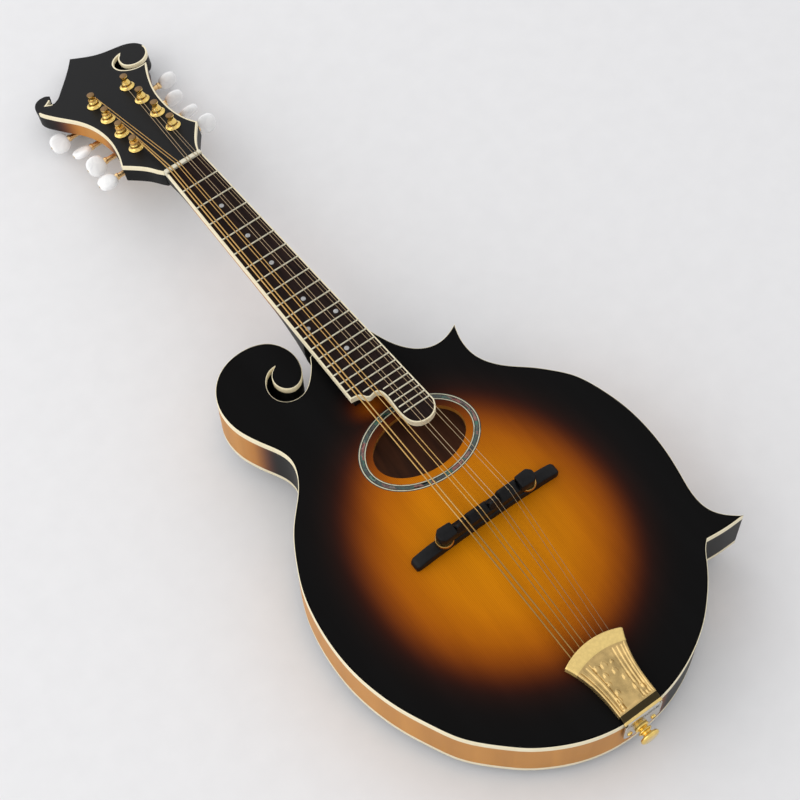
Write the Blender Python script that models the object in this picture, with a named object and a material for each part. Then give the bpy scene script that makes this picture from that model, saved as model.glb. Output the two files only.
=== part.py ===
"""An oval-hole mandolin with a scroll body, lying on its back.

Lengths below are in millimetres, and MM turns them into metres as each mesh is made.
Three frames carry the parts, each an empty with the next one as its child:
  body_frame  +Y to the headstock, +Z out of the top; the flat edge of the top is its Z = 0,
              and its origin is under the nut on the centre line
  neck_frame  the same, tipped back by the neck pitch; the fingerboard's face is its Z = 0
  head_frame  tipped back again; the headstock's face is its Z = 0
The world's origin is the middle of the small flat on the crown of the back, which the
instrument rests on together with the tip of its headstock.
"""

import math

import bmesh
import bpy
import numpy as np
from mathutils import Matrix, Vector
from mathutils.geometry import delaunay_2d_cdt

MM = 0.001
GAP = 0.25

# The strings' length from nut to bridge settles the fret places and the bridge.
SCALE_LENGTH = 352.4
FRET_COUNT = 24
NECK_PITCH = math.radians(4.65)
HEAD_TILT = math.radians(13.5)
REST_TILT = math.radians(1.683)
NUT_HEIGHT = -2.56
HEAD_START = 5.5
HEAD_DROP = 2.3

# The body's edge runs from the top's rim plane down to the back's.
BODY_DEPTH = 45.0
PLATE_EDGE = 4.5
BINDING_WIDTH = 1.5
BINDING_HEIGHT = 6.0
RIB_THICKNESS = 2.4
LINING_WIDTH = 7.0
LINING_HEIGHT = 8.0
TOP_ARCH = 11.5
BACK_ARCH = 13.0
BACK_CROWN = 350.0
# Where the tilted back touches the ground, and the depth of the small flat worn there.
REST_PLACE = BACK_CROWN + 14.2
REST_FLAT = 0.25
BLOCK_END = 229.0
BODY_START = 176.0

# The oval soundhole and the ring inlaid around it, as half widths.
HOLE_CENTRE = 281.0
HOLE_RADII = (33.9, 23.8)
ROSETTE_INNER = (38.5, 28.8)
ROSETTE_OUTER = (43.7, 34.0)
ROSETTE_DEPTH = 1.0

BOARD_THICKNESS = 5.0
BOARD_NUT_HALF = 14.95
BOARD_TAPER = 0.0265
BOARD_BINDING = 1.3
FRET_HEIGHT = 1.1
FRET_WIDTH = 1.4
NUT_FRONT = 0.8
NUT_BACK = 4.85

HEAD_THICKNESS = 13.5
OVERLAY = 3.0
HEAD_BINDING = 1.2

BRIDGE_CENTRE = 351.8
BRIDGE_HALF = 57.0
BRIDGE_WIDTH = 8.6
POST_SPREAD = 33.0
BRIDGE_TOP = 17.0
WHEEL_RADIUS = 6.3
WHEEL_THICKNESS = 2.8
SADDLE_FOOT = 21.1
SADDLE_KEEL = 18.3
LUG_CENTRE = 32.0
SADDLE_STEPS = ((-25.0, -15.4, 0.0), (-15.4, 1.2, 2.2), (1.2, 9.9, 0.0), (9.9, 25.2, 3.0))
SADDLE_CREST = 30.5
THREAD_RADIUS = 2.0

TAIL = 510.5
PIN_HEIGHT = -22.0

POST_START = 40.0
POST_STEP = 23.05
POST_RADIUS = 2.8
POST_TOP = 10.7
POST_HALF = (16.1, 15.6, 15.1, 14.6)
WORM_OFFSET = 8.0
WORM_LEVEL = -20.0
GEAR_RADIUS = 5.5
BUTTON_REACH = (43.5, 41.0, 41.0, 48.5)
BUTTON_TURN = {"bass": (87, 42, 110, 44), "treble": (-5, 34, 18, 12)}
TUNER_SIDES = (("bass", -1), ("treble", 1))

# Each course is a pair of strings: place across the nut, the saddle and the tail, and radius.
COURSES = (
    ("g", -10.85, -18.6, -13.1, 0.50),
    ("d", -3.95, -6.2, -4.7, 0.33),
    ("a", 3.95, 6.2, 4.7, 0.19),
    ("e", 10.85, 18.6, 13.1, 0.15),
)
PAIR_AT_NUT = 1.1
PAIR_AT_SADDLE = 1.5
PAIR_AT_TAIL = 1.9

# Outlines are lists of smooth runs that meet at corners, seen from above: place across,
# then distance from the nut. The treble side is +X.
BODY_RUNS = (
    ((19.8, 176), (21.4, 182.5), (24.4, 191), (28.6, 202.5), (33.2, 211.5), (38.6, 218.5),
     (45, 223.6), (52, 226.3), (59, 226.7), (66, 225.1), (73.6, 221.7)),
    ((73.6, 221.7), (70.6, 231), (69.3, 241), (70.6, 250.5), (74.6, 259), (84, 270), (95.4, 280),
     (105, 290), (113, 300), (121.6, 320), (126.4, 340), (128, 360), (127, 380), (123.6, 400),
     (120.4, 420), (122.2, 431), (128.3, 440), (136.8, 447.2)),
    ((136.8, 447.2), (122, 447.2), (107.5, 445.8)),
    ((107.5, 445.8), (103.4, 449.3), (98, 456.5), (90, 467.2), (80, 477.9), (70, 486.8), (60, 493.7),
     (45, 501.5), (30, 506.8), (15, 509.7), (0, TAIL), (-15, 509.7), (-30, 506.8), (-45, 501.5),
     (-60, 493.7), (-70, 487), (-80, 478.3), (-90, 468.5), (-100, 456.5), (-109, 440), (-118, 420),
     (-124.2, 400), (-127.7, 380), (-128.3, 360), (-126.4, 340), (-121.7, 320), (-113, 300),
     (-100.8, 280), (-92, 270), (-83.6, 260.5), (-77.2, 250), (-74.6, 240), (-76.6, 230),
     (-81.7, 220), (-86.7, 210), (-90.4, 200), (-91.9, 190), (-91.2, 180), (-87.3, 169.5),
     (-80, 160.5), (-70, 154.5), (-57, 152), (-45, 153.6), (-36, 158.4), (-30.2, 166),
     (-27.4, 176), (-28.2, 184), (-31, 190.5), (-35.2, 194.6), (-40.5, 196.3), (-45.7, 194.8),
     (-49.3, 190.8), (-50.6, 186), (-49.7, 181.4), (-47.2, 178), (-43, 175.3)),
    ((-43, 175.3), (-47.8, 176.1), (-52.4, 179), (-56, 184), (-57.6, 191), (-56, 197.5),
     (-51.5, 202.3), (-45, 204.4), (-38.5, 203.6), (-33, 200.4), (-27, 194.4), (-22.6, 188.6),
     (-19.8, 183.5)),
)
HEAD_RUNS = (
    ((15.2, 0.3), (16.5, 4.5), (19.8, 12.4), (24.3, 20), (31.3, 30.5)),
    ((31.3, 30.5), (28.6, 37), (26.5, 45), (25.2, 54), (24.8, 64), (25.3, 74), (26.4, 84),
     (28.5, 94), (31.5, 104), (35.2, 114), (39.8, 124.2)),
    ((39.8, 124.2), (35, 123.6), (29.5, 124.6), (24.5, 127.6), (20.8, 132), (19.4, 137.5),
     (20.6, 143), (24.3, 147.3), (29.6, 149.8)),
    ((29.6, 149.8), (26.2, 145.5), (24.9, 140), (25.6, 134.8), (28.8, 130.6), (33.5, 128.4),
     (38.8, 128.6), (43.5, 131.2), (47, 135.6), (48.7, 141), (48.4, 147), (45.5, 152.8),
     (40.5, 157), (34, 159.4), (27, 161), (20, 163), (13, 166.4), (6, 171.3), (-0.8, 176.7)),
    ((-0.8, 176.7), (-5, 170.6), (-12, 161.5), (-20, 152), (-27, 144), (-31.5, 139.3),
     (-35.8, 137)),
    ((-35.8, 137), (-38.6, 138), (-41.3, 139.9)),
    ((-41.3, 139.9), (-38.2, 142), (-35.4, 145), (-34.2, 148)),
    ((-34.2, 148), (-36.8, 150.4), (-41, 151), (-45.5, 149.3), (-48.8, 145), (-50.3, 139.5),
     (-49.6, 134), (-47, 127.5), (-43, 119.5), (-38.6, 111.5), (-34.3, 103.5), (-31, 95.5),
     (-28.6, 87), (-27.2, 78), (-26.7, 69), (-27.2, 59.5), (-28.7, 50), (-31, 40.5), (-34.6, 30)),
    ((-34.6, 30), (-25.7, 19), (-21, 11.5), (-17.8, 4.5), (-15.4, 0.3)),
)
BOARD_END_RUNS = (
    ((-21.16, 234.4), (-17.6, 234.8), (-14.4, 236.2), (-12.4, 239.2), (-9.8, 240.8), (-5.6, 240),
     (-3, 241), (-1.7, 244), (-1.5, 252), (-1.5, 268), (0.3, 273), (5, 277), (10.2, 277.9),
     (15.4, 276.7), (19.8, 272.8), (22.05, 268)),
)


# --- curves and outlines ------------------------------------------------------------------


def smooth_run(points, step):
    """Points about step apart on the natural cubic spline through the given points."""
    given = np.array(points, dtype=float)
    if len(given) == 2:
        return [tuple(p) for p in given]
    knots = np.concatenate(([0.0], np.cumsum(np.linalg.norm(np.diff(given, axis=0), axis=1))))
    spans = np.diff(knots)
    count = len(given)
    matrix = np.eye(count)
    right = np.zeros((count, 2))
    for i in range(1, count - 1):
        matrix[i, i - 1:i + 2] = (spans[i - 1], 2 * (spans[i - 1] + spans[i]), spans[i])
        right[i] = 6 * ((given[i + 1] - given[i]) / spans[i] - (given[i] - given[i - 1]) / spans[i - 1])
    bends = np.linalg.solve(matrix, right)
    out = []
    for place in np.linspace(0, knots[-1], max(2, round(knots[-1] / step)) + 1):
        i = min(max(int(np.searchsorted(knots, place)) - 1, 0), count - 2)
        a, b, h = knots[i + 1] - place, place - knots[i], spans[i]
        out.append(tuple(
            (bends[i] * a**3 + bends[i + 1] * b**3) / (6 * h)
            + (given[i] / h - bends[i] * h / 6) * a
            + (given[i + 1] / h - bends[i + 1] * h / 6) * b
        ))
    return out


def outline(runs, step):
    """One closed loop of (x, y) points, anticlockwise, with y pointing to the headstock."""
    loop = []
    for run in runs:
        for point in smooth_run(run, step):
            if not loop or math.dist(loop[-1], point) > 0.05:
                loop.append(point)
    if math.dist(loop[0], loop[-1]) < 0.05:
        loop.pop()
    return anticlockwise(loop)


def anticlockwise(loop):
    turned = sum(a[0] * b[1] - b[0] * a[1] for a, b in zip(loop, loop[1:] + loop[:1]))
    return loop if turned > 0 else loop[::-1]


def flip_y(loop):
    return anticlockwise([(x, -y) for x, y in loop])


def distance_to(loop, point):
    """How far a point is from the nearest side of a closed loop."""
    a = np.array(loop)
    b = np.roll(a, -1, axis=0)
    side = b - a
    along = ((point - a) * side).sum(axis=1) / (side * side).sum(axis=1)
    nearest = a + side * np.clip(along, 0, 1)[:, None]
    return float(np.linalg.norm(nearest - point, axis=1).min())


def inset(loop, width, spacing=0.8):
    """The loop moved inwards by width, without the parts that would cross themselves."""
    kept = []
    for i, corner in enumerate(loop):
        here = Vector(corner)
        before = (here - Vector(loop[i - 1])).normalized()
        after = (Vector(loop[(i + 1) % len(loop)]) - here).normalized()
        turn = math.atan2(before.x * after.y - before.y * after.x, before.dot(after))
        first = Vector((-before.y, before.x))
        last = Vector((-after.y, after.x))
        if turn > 0 or abs(turn) < math.radians(20):
            reach = width / max(0.2, math.cos(turn / 2))
            kept.append(here + (first + last).normalized() * reach)
            continue
        fan = math.ceil(abs(turn) / math.radians(25))
        kept += [here + first.lerp(last, k / fan).normalized() * width for k in range(fan + 1)]
    clean = []
    for point in kept:
        if distance_to(loop, np.array(point)) < width * 0.985:
            continue
        if not clean or math.dist(clean[-1], point) > spacing:
            clean.append((point.x, point.y))
    if math.dist(clean[0], clean[-1]) < spacing:
        clean.pop()
    return clean


def clip(loop, keep, axis, limit):
    """The part of a loop on one side of a line across an axis: keep is 1 above it, -1 below."""
    out = []
    for a, b in zip(loop, loop[1:] + loop[:1]):
        inside_a = keep * (a[axis] - limit) >= 0
        inside_b = keep * (b[axis] - limit) >= 0
        if inside_a:
            out.append(a)
        if inside_a != inside_b:
            t = (limit - a[axis]) / (b[axis] - a[axis])
            out.append((a[0] + (b[0] - a[0]) * t, a[1] + (b[1] - a[1]) * t))
    return out


def ellipse(radii, centre, count):
    turns = (2 * math.pi * k / count for k in range(count))
    return [(radii[0] * math.cos(t) + centre[0], radii[1] * math.sin(t) + centre[1]) for t in turns]


def rectangle(x0, x1, y0, y1):
    return [(x0, y0), (x1, y0), (x1, y1), (x0, y1)]


def inside(loop, point):
    hit = False
    for (ax, ay), (bx, by) in zip(loop, loop[1:] + loop[:1]):
        if (ay > point[1]) != (by > point[1]) and point[0] < (bx - ax) * (point[1] - ay) / (by - ay) + ax:
            hit = not hit
    return hit


# --- meshes -------------------------------------------------------------------------------


def fill(loops, spacing):
    """Triangles covering a loop with holes, on a grid of extra points when spacing is given."""
    flat = [Vector(p) for loop in loops for p in loop]
    edges = []
    start = 0
    for loop in loops:
        order = list(range(start, start + len(loop)))
        edges += list(zip(order, order[1:] + order[:1]))
        start += len(loop)
    if spacing:
        flat += grid_inside(loops, spacing)
    verts, _, faces, _, _, _ = delaunay_2d_cdt(flat, edges, [], 0, 1e-6)
    kept = []
    for a, b, c in faces:
        middle = (verts[a] + verts[b] + verts[c]) / 3
        if inside(loops[0], middle) and not any(inside(hole, middle) for hole in loops[1:]):
            first, second = verts[b] - verts[a], verts[c] - verts[a]
            kept.append((a, b, c) if first.x * second.y > first.y * second.x else (a, c, b))
    return verts, kept


def grid_inside(loops, spacing):
    """Staggered points inside a loop, kept off its sides and out of its holes."""
    low = np.min(loops[0], axis=0)
    high = np.max(loops[0], axis=0)
    points = []
    for row, y in enumerate(np.arange(low[1] + spacing / 2, high[1], spacing * 0.87)):
        for x in np.arange(low[0] + spacing / 2 * (1 + row % 2), high[0], spacing):
            covered = inside(loops[0], (x, y)) and not any(inside(hole, (x, y)) for hole in loops[1:])
            if covered and min(distance_to(loop, np.array((x, y))) for loop in loops) > spacing * 0.45:
                points.append(Vector((x, y)))
    return points


def shaped_slab(loops, top, bottom, spacing=None):
    """A slab of a loop with holes whose two faces are the given height functions."""
    verts, faces = fill(loops, spacing)
    count = len(verts)
    points = [(v.x, v.y, bottom(v.x, v.y)) for v in verts] + [(v.x, v.y, top(v.x, v.y)) for v in verts]
    out = []
    border = set()
    for a, b, c in faces:
        out += [(a + count, b + count, c + count), (c, b, a)]
        for edge in ((a, b), (b, c), (c, a)):
            if edge[::-1] in border:
                border.remove(edge[::-1])
            else:
                border.add(edge)
    out += [(a, b, b + count, a + count) for a, b in sorted(border)]
    return points, out


def prism(loops, low, high):
    """A flat slab of a loop with holes, from one height to another."""
    return shaped_slab(loops, lambda x, y: high, lambda x, y: low)


def terraces(levels, regions):
    """Slabs stacked between rising levels, each over its own (loop, hole) pairs, as one solid."""
    loops = []
    for loop in (loop for region in regions for pair in region for loop in pair):
        if loop not in loops:
            loops.append(loop)
    flat, edges = [], []
    for loop in loops:
        order = list(range(len(flat), len(flat) + len(loop)))
        edges += list(zip(order, order[1:] + order[:1]))
        flat += [Vector(p) for p in loop]
    verts, _, triangles, _, _, _ = delaunay_2d_cdt(flat, edges, [], 0, 1e-6)
    count = len(verts)
    points = [(v.x, v.y, level) for level in levels for v in verts]
    out = []
    walls = [set() for _ in regions]
    for a, b, c in triangles:
        middle = (verts[a] + verts[b] + verts[c]) / 3
        first, second = verts[b] - verts[a], verts[c] - verts[a]
        if first.x * second.y < first.y * second.x:
            b, c = c, b
        solid = [any(inside(loop, middle) and not inside(hole, middle) for loop, hole in region)
                 for region in regions]
        for k, (below, above) in enumerate(zip([False] + solid, solid + [False])):
            face = tuple(i + k * count for i in (a, b, c))
            if below and not above:
                out.append(face)
            if above and not below:
                out.append(face[::-1])
            if above:
                for edge in ((a, b), (b, c), (c, a)):
                    if edge[::-1] in walls[k]:
                        walls[k].remove(edge[::-1])
                    else:
                        walls[k].add(edge)
    for k, wall in enumerate(walls):
        low, high = k * count, (k + 1) * count
        out += [(a + low, b + low, b + high, a + high) for a, b in sorted(wall)]
    used = sorted({i for face in out for i in face})
    renumber = {old: new for new, old in enumerate(used)}
    return [points[i] for i in used], [tuple(renumber[i] for i in face) for face in out]


def loft(sections, ends=True):
    """A skin through equal rings of points, each ring anticlockwise seen from its far side."""
    size = len(sections[0])
    points = [point for ring in sections for point in ring]
    faces = []
    for k in range(len(sections) - 1):
        for i in range(size):
            a, b = k * size + i, k * size + (i + 1) % size
            faces.append((a, b, b + size, a + size))
    if ends:
        faces.append(tuple(range(size))[::-1])
        faces.append(tuple(range((len(sections) - 1) * size, len(sections) * size)))
    return points, faces


def turned(profile, sides):
    """A round solid about Z: (radius, height) pairs going up its outside and down its bore."""
    rings = []
    for radius, height in profile:
        angles = (2 * math.pi * k / sides for k in range(sides))
        rings.append([(radius * math.cos(t), radius * math.sin(t), height) for t in angles])
    return loft(rings, ends=True)


def ring_turned(profile, sides):
    """A round solid with a bore: its section is a closed loop of (radius, height) pairs."""
    size = len(profile)
    points = []
    for k in range(sides):
        t = 2 * math.pi * k / sides
        points += [(r * math.cos(t), r * math.sin(t), h) for r, h in profile]
    faces = []
    for k in range(sides):
        for i in range(size):
            a, b = k * size + i, k * size + (i + 1) % size
            c = ((k + 1) % sides) * size
            faces.append((a, b, c + (i + 1) % size, c + i))
    return points, faces


def tube(path, radius, sides):
    """A round rod through the points of a path, with square ends."""
    rings = []
    for k, point in enumerate(path):
        ahead = path[min(k + 1, len(path) - 1)] - path[max(k - 1, 0)]
        across = ahead.cross(Vector((0, 0, 1))).normalized()
        over = across.cross(ahead).normalized()
        angles = (2 * math.pi * i / sides for i in range(sides))
        rings.append([point + (across * math.cos(t) + over * math.sin(t)) * radius for t in angles])
    return loft(rings)


def moved(shape, matrix):
    return [tuple(matrix @ Vector(point)) for point in shape[0]], shape[1]


def joined(shapes):
    points, faces = [], []
    for shape in shapes:
        shift = len(points)
        points += list(shape[0])
        faces += [tuple(i + shift for i in face) for face in shape[1]]
    return points, faces


# --- objects ------------------------------------------------------------------------------


def make_material(name, colour, roughness, metallic):
    material = bpy.data.materials.new(name)
    material.use_nodes = True
    shader = material.node_tree.nodes["Principled BSDF"]
    shader.inputs["Base Color"].default_value = (*colour, 1)
    shader.inputs["Roughness"].default_value = roughness
    shader.inputs["Metallic"].default_value = metallic
    return material


FINISHES = {
    "spruce": ((0.50, 0.22, 0.03), 0.35, 0.0),
    "maple": ((0.42, 0.20, 0.07), 0.35, 0.0),
    "block_wood": ((0.45, 0.28, 0.13), 0.7, 0.0),
    "black_lacquer": ((0.012, 0.012, 0.013), 0.35, 0.0),
    "ivoroid": ((0.80, 0.74, 0.55), 0.4, 0.0),
    "rosewood": ((0.035, 0.022, 0.018), 0.5, 0.0),
    "ebony": ((0.012, 0.011, 0.012), 0.45, 0.0),
    "bone": ((0.80, 0.76, 0.62), 0.4, 0.0),
    "abalone": ((0.20, 0.30, 0.26), 0.3, 0.0),
    "gold": ((0.80, 0.58, 0.22), 0.22, 1.0),
    "brass": ((0.75, 0.55, 0.22), 0.3, 1.0),
    "steel": ((0.60, 0.60, 0.60), 0.3, 1.0),
    "bronze": ((0.70, 0.42, 0.18), 0.35, 1.0),
    "pearloid": ((0.88, 0.88, 0.86), 0.3, 0.0),
}


def build_mesh(name, shape, smooth_under=None):
    mesh = bpy.data.meshes.new(name)
    mesh.from_pydata([Vector(p) * MM for p in shape[0]], [], shape[1])
    tidy = bmesh.new()
    tidy.from_mesh(mesh)
    bmesh.ops.remove_doubles(tidy, verts=tidy.verts, dist=1e-7)
    bmesh.ops.dissolve_degenerate(tidy, edges=tidy.edges, dist=1e-7)
    bmesh.ops.recalc_face_normals(tidy, faces=tidy.faces)
    tidy.to_mesh(mesh)
    tidy.free()
    if smooth_under:
        mesh.shade_smooth()
        mesh.set_sharp_from_angle(angle=math.radians(smooth_under))
    return mesh


def place(name, shape, parent, finish, smooth_under=35):
    """One sub-part from its shape in millimetres in its parent's frame."""
    piece = bpy.data.objects.new(name, build_mesh(name, shape, smooth_under))
    bpy.context.collection.objects.link(piece)
    piece.parent = parent
    colour, roughness, metallic = FINISHES[finish]
    piece.data.materials.append(make_material(name, colour, roughness, metallic))
    return piece


def shape_with(piece, shape, operation):
    """Join a shape to a piece, or cut it out of it, in the piece's own frame."""
    tool = bpy.data.objects.new(piece.name + "_tool", build_mesh("tool", shape))
    bpy.context.collection.objects.link(tool)
    tool.parent = piece.parent
    tool.matrix_local = piece.matrix_local
    tool.hide_render = True
    tool.display_type = "WIRE"
    change = piece.modifiers.new(operation.lower(), "BOOLEAN")
    change.object = tool
    change.operation = operation
    change.solver = "EXACT"


def make_frame(name, parent, place_mm, tilt):
    frame = bpy.data.objects.new(name, None)
    bpy.context.collection.objects.link(frame)
    frame.parent = parent
    frame.matrix_local = Matrix.Translation(Vector(place_mm) * MM) @ Matrix.Rotation(tilt, 4, "X")
    return frame


# --- the body -----------------------------------------------------------------------------


def dome(x, y, rise, centre, half_width, to_neck, to_tail):
    """How far a carved plate stands above its flat edge."""
    along = (y + centre) / (to_neck if y > -centre else to_tail)
    spread = (x / half_width) ** 2 + along**2
    return rise * max(0.0, 1 - spread) ** 1.5


def top_face(x, y):
    return dome(x, y, TOP_ARCH, 355, 112, 120, 138)


def top_underside(x, y):
    return top_face(x, y) - PLATE_EDGE


def back_face(x, y):
    return -BODY_DEPTH - dome(x, y, BACK_ARCH, BACK_CROWN, 114, 130, 138)


def back_inside(x, y):
    return back_face(x, y) + PLATE_EDGE


def body_to_world():
    """Lay the body on the flat of its back, with that flat's middle at the world's origin."""
    crown = Vector((0, -REST_PLACE, back_face(0, -REST_PLACE) + REST_FLAT))
    turn = Matrix.Rotation(REST_TILT, 4, "X")
    return Matrix.Translation(-(turn @ crown)) @ turn


def body_parts(body):
    edge = flip_y(outline(BODY_RUNS, 10.0))
    band = inset(edge, BINDING_WIDTH, 0.9)
    plate = inset(band, GAP, 0.5)
    inner_rib = inset(edge, RIB_THICKNESS, 1.5)
    hole = ellipse(HOLE_RADII, (0, -HOLE_CENTRE), 28)

    top = place("top_plate", shaped_slab([plate, hole], top_face, top_underside, 15), body, "spruce")
    groove = [ellipse([r + GAP for r in ROSETTE_OUTER], (0, -HOLE_CENTRE), 32),
              ellipse([r - GAP for r in ROSETTE_INNER], (0, -HOLE_CENTRE), 32)]
    shape_with(top, shaped_slab(
        groove, lambda x, y: top_face(x, y) + 4,
        lambda x, y: top_face(x, y) - ROSETTE_DEPTH - GAP, 30), "DIFFERENCE")
    ring = [ellipse(ROSETTE_OUTER, (0, -HOLE_CENTRE), 32), ellipse(ROSETTE_INNER, (0, -HOLE_CENTRE), 32)]
    place("rosette", shaped_slab(
        ring, lambda x, y: top_face(x, y) - 0.05,
        lambda x, y: top_face(x, y) - ROSETTE_DEPTH, 30), body, "abalone")
    back = place("back_plate", shaped_slab([plate], back_inside, back_face, 15), body, "maple")
    ground = prism([rectangle(-60, 60, -60, 60)], -20, 0)
    shape_with(back, moved(ground, body_to_world().inverted()), "DIFFERENCE")

    place("top_binding", prism([edge, band], -BINDING_HEIGHT, 0), body, "ivoroid")
    place("back_binding", prism([edge, band], -BODY_DEPTH, BINDING_HEIGHT - BODY_DEPTH), body, "ivoroid")

    glue_top, glue_back = -PLATE_EDGE - GAP, PLATE_EDGE - BODY_DEPTH + GAP
    lining = (clip(plate, -1, 1, -BLOCK_END - 2),
              clip(inset(edge, LINING_WIDTH, 2), -1, 1, -BLOCK_END - 7))
    levels = (glue_back, BINDING_HEIGHT - BODY_DEPTH + GAP, glue_back + LINING_HEIGHT,
              glue_top - LINING_HEIGHT, -BINDING_HEIGHT - GAP, glue_top)
    rib = (edge, inner_rib)
    rim = place("rim", terraces(levels, ([lining], [rib, lining], [rib], [rib, lining], [lining])),
                body, "maple")
    drill = Matrix.Translation((0, -TAIL, PIN_HEIGHT)) @ Matrix.Rotation(math.pi / 2, 4, "X")
    socket = prism([rectangle(-6 - GAP, 6 + GAP, -BODY_START - 14, -BODY_START + 3)], -36 - GAP, -8 + GAP)
    shape_with(rim, socket, "DIFFERENCE")
    pin_bore = moved(turned(((3.8, -14), (3.8, 14)), 20), drill)
    shape_with(rim, pin_bore, "DIFFERENCE")

    head = clip(clip(inset(inner_rib, GAP, 0.5), 1, 1, -BLOCK_END), -1, 0, 42.0)
    block = place("head_block", prism([head], glue_back, glue_top), body, "block_wood")
    shape_with(block, socket, "DIFFERENCE")
    tail = place("tail_block", prism([rectangle(-20, 20, LINING_WIDTH + 2.5 - TAIL, 24 - TAIL)],
                                     glue_back, glue_top), body, "block_wood")
    shape_with(tail, moved(turned(((3.8, -40), (3.8, 14)), 20), drill), "DIFFERENCE")

    brace_y = -322.0
    spans = [-104 + 208 * k / 16 for k in range(17)]
    upper = [(x, top_underside(x, brace_y) - GAP - 0.6) for x in spans]
    lower = [(x, min(z - 2.5, -5.5 - 5.5 * (1 - (x / 104) ** 4))) for x, z in upper]
    section = anticlockwise(upper + lower[::-1])
    stand_up = Matrix.Translation((0, brace_y, 0)) @ Matrix.Rotation(math.pi / 2, 4, "X")
    place("cross_brace", moved(prism([section], -3.5, 3.5), stand_up), body, "block_wood")


# --- the neck -----------------------------------------------------------------------------


def board_half(distance):
    return BOARD_NUT_HALF + BOARD_TAPER * distance


def board_outline():
    """The fingerboard seen from above, from past the nut to its end under the treble strings."""
    end = smooth_run(BOARD_END_RUNS[0], 3.0)
    loop = [(-board_half(-6), -6), (-board_half(117), 117)] + end + [(board_half(117), 117)]
    loop.append((board_half(-6), -6))
    return flip_y(loop)


def neck_section(distance, half, depth, square):
    """A ring across the neck: flat under the board and rounded behind."""
    ring = []
    for k in range(13):
        t = math.pi * k / 12
        x = half * math.copysign(abs(math.cos(t)) ** square, math.cos(t))
        ring.append((x, -distance, -BOARD_THICKNESS - GAP - depth * math.sin(t) ** square))
    return ring


def neck_shape():
    """The neck's shaft and heel, from under the nut to the body."""
    stations = (
        (-4.3, 15.2, 12.0, 0.8), (0, 15.1, 13.2, 0.85), (8, 15.0, 14, 0.9), (60, 16.6, 15, 0.92),
        (115, 18.1, 16.5, 0.92), (140, 18.7, 19.5, 0.9), (155, 19.0, 28, 0.85), (165, 19.2, 40, 0.82),
        (172, 19.4, 50, 0.82), (BODY_START + 8, 19.6, 55, 0.82),
    )
    return loft([neck_section(*station) for station in stations])


def neck_parts(neck, head, body_to_neck):
    shaft = place("neck", neck_shape(), neck, "maple")
    face = anticlockwise(outline(HEAD_RUNS, 8.0))
    head_to_neck = Matrix.Translation((0, HEAD_START, -HEAD_DROP)) @ Matrix.Rotation(-HEAD_TILT, 4, "X")
    slab = moved(prism([face], -HEAD_THICKNESS, -OVERLAY - GAP), head_to_neck)
    shape_with(shaft, slab, "UNION")
    heel_room = prism([rectangle(-40, 40, -260, GAP - BODY_START)], -80, 12)
    shape_with(shaft, moved(heel_room, body_to_neck), "DIFFERENCE")
    below_heel = prism([rectangle(-40, 40, -260, -140)], -80, GAP + 2 - BODY_DEPTH)
    shape_with(shaft, moved(below_heel, body_to_neck), "DIFFERENCE")
    riser = prism([rectangle(-17.8, 17.8, -233, -168)], GAP + 0.1, 13)
    shape_with(shaft, moved(riser, body_to_neck), "UNION")
    tenon = prism([rectangle(-6, 6, -BODY_START - 13, -BODY_START + 8)], -36, -8)
    shape_with(shaft, moved(tenon, body_to_neck), "UNION")
    under_board = prism([rectangle(-30, 30, -240, 20)], -BOARD_THICKNESS - GAP, 12)
    shape_with(shaft, under_board, "DIFFERENCE")
    channel = prism([rectangle(-3.2, 3.2, -168, -6)], -BOARD_THICKNESS - 11, 0)
    shape_with(shaft, channel, "DIFFERENCE")
    for _, x, y in post_places():
        bore = moved(turned(((4.5, -20), (4.5, 6)), 16), head_to_neck @ Matrix.Translation((x, y, 0)))
        shape_with(shaft, bore, "DIFFERENCE")
    place("truss_rod", prism([rectangle(-2.9, 2.9, -167, -7)], -BOARD_THICKNESS - 10, -BOARD_THICKNESS - 1),
          neck, "steel")

    edge = board_outline()
    inner = inset(edge, BOARD_BINDING, 0.8)
    board_loop = clip(inset(inner, GAP, 0.3), -1, 1, NUT_FRONT - GAP)
    board = place("fingerboard", prism([board_loop], -BOARD_THICKNESS, 0), neck, "rosewood")
    bars = []
    for number in range(1, FRET_COUNT + 1):
        distance = SCALE_LENGTH * (1 - 2 ** (-number / 12))
        half = board_half(distance) - BOARD_BINDING - 0.7
        start = -half if number < 19 else (-11.0 if number == 19 else 0.9)
        bars.append(prism([rectangle(start, half, -distance - FRET_WIDTH / 2, -distance + FRET_WIDTH / 2)],
                          -1, FRET_HEIGHT))
    shape_with(board, joined(bars), "UNION")
    strip = clip(edge, -1, 1, NUT_FRONT - GAP)
    binding = place("fingerboard_binding", prism([strip], -BOARD_THICKNESS, 0), neck, "ivoroid")
    shape_with(binding, prism([inner], -BOARD_THICKNESS - 2, 2), "DIFFERENCE")

    nut = rectangle(-15.1, 15.1, NUT_FRONT, NUT_BACK)
    place("nut", prism([nut], -BOARD_THICKNESS, 1.2), neck, "bone")

    field = inset(face, HEAD_BINDING, 0.7)
    overlay = place("headstock_overlay", prism([inset(field, GAP, 0.5)], -OVERLAY, 0), head, "black_lacquer")
    holes = [moved(turned(((4.5, -8), (4.5, 4)), 16), Matrix.Translation((x, y, 0)))
             for _, x, y in post_places()]
    shape_with(overlay, joined(holes), "DIFFERENCE")
    place("headstock_binding", prism([face, field], -OVERLAY, 0), head, "ivoroid")


def heel_cap(body):
    """The thin cap under the heel, level with the back."""
    foot = [(10.5 * math.cos(t), 14 * math.sin(t)) for t in (math.pi * k / 12 for k in range(13))]
    loop = [(x, y - BODY_START + 0.6) for x, y in foot]
    cap = prism([anticlockwise(loop)], -BODY_DEPTH + 0.2, -BODY_DEPTH + 1.9)
    place("heel_cap", cap, body, "black_lacquer")


# --- the bridge ---------------------------------------------------------------------------


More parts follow.
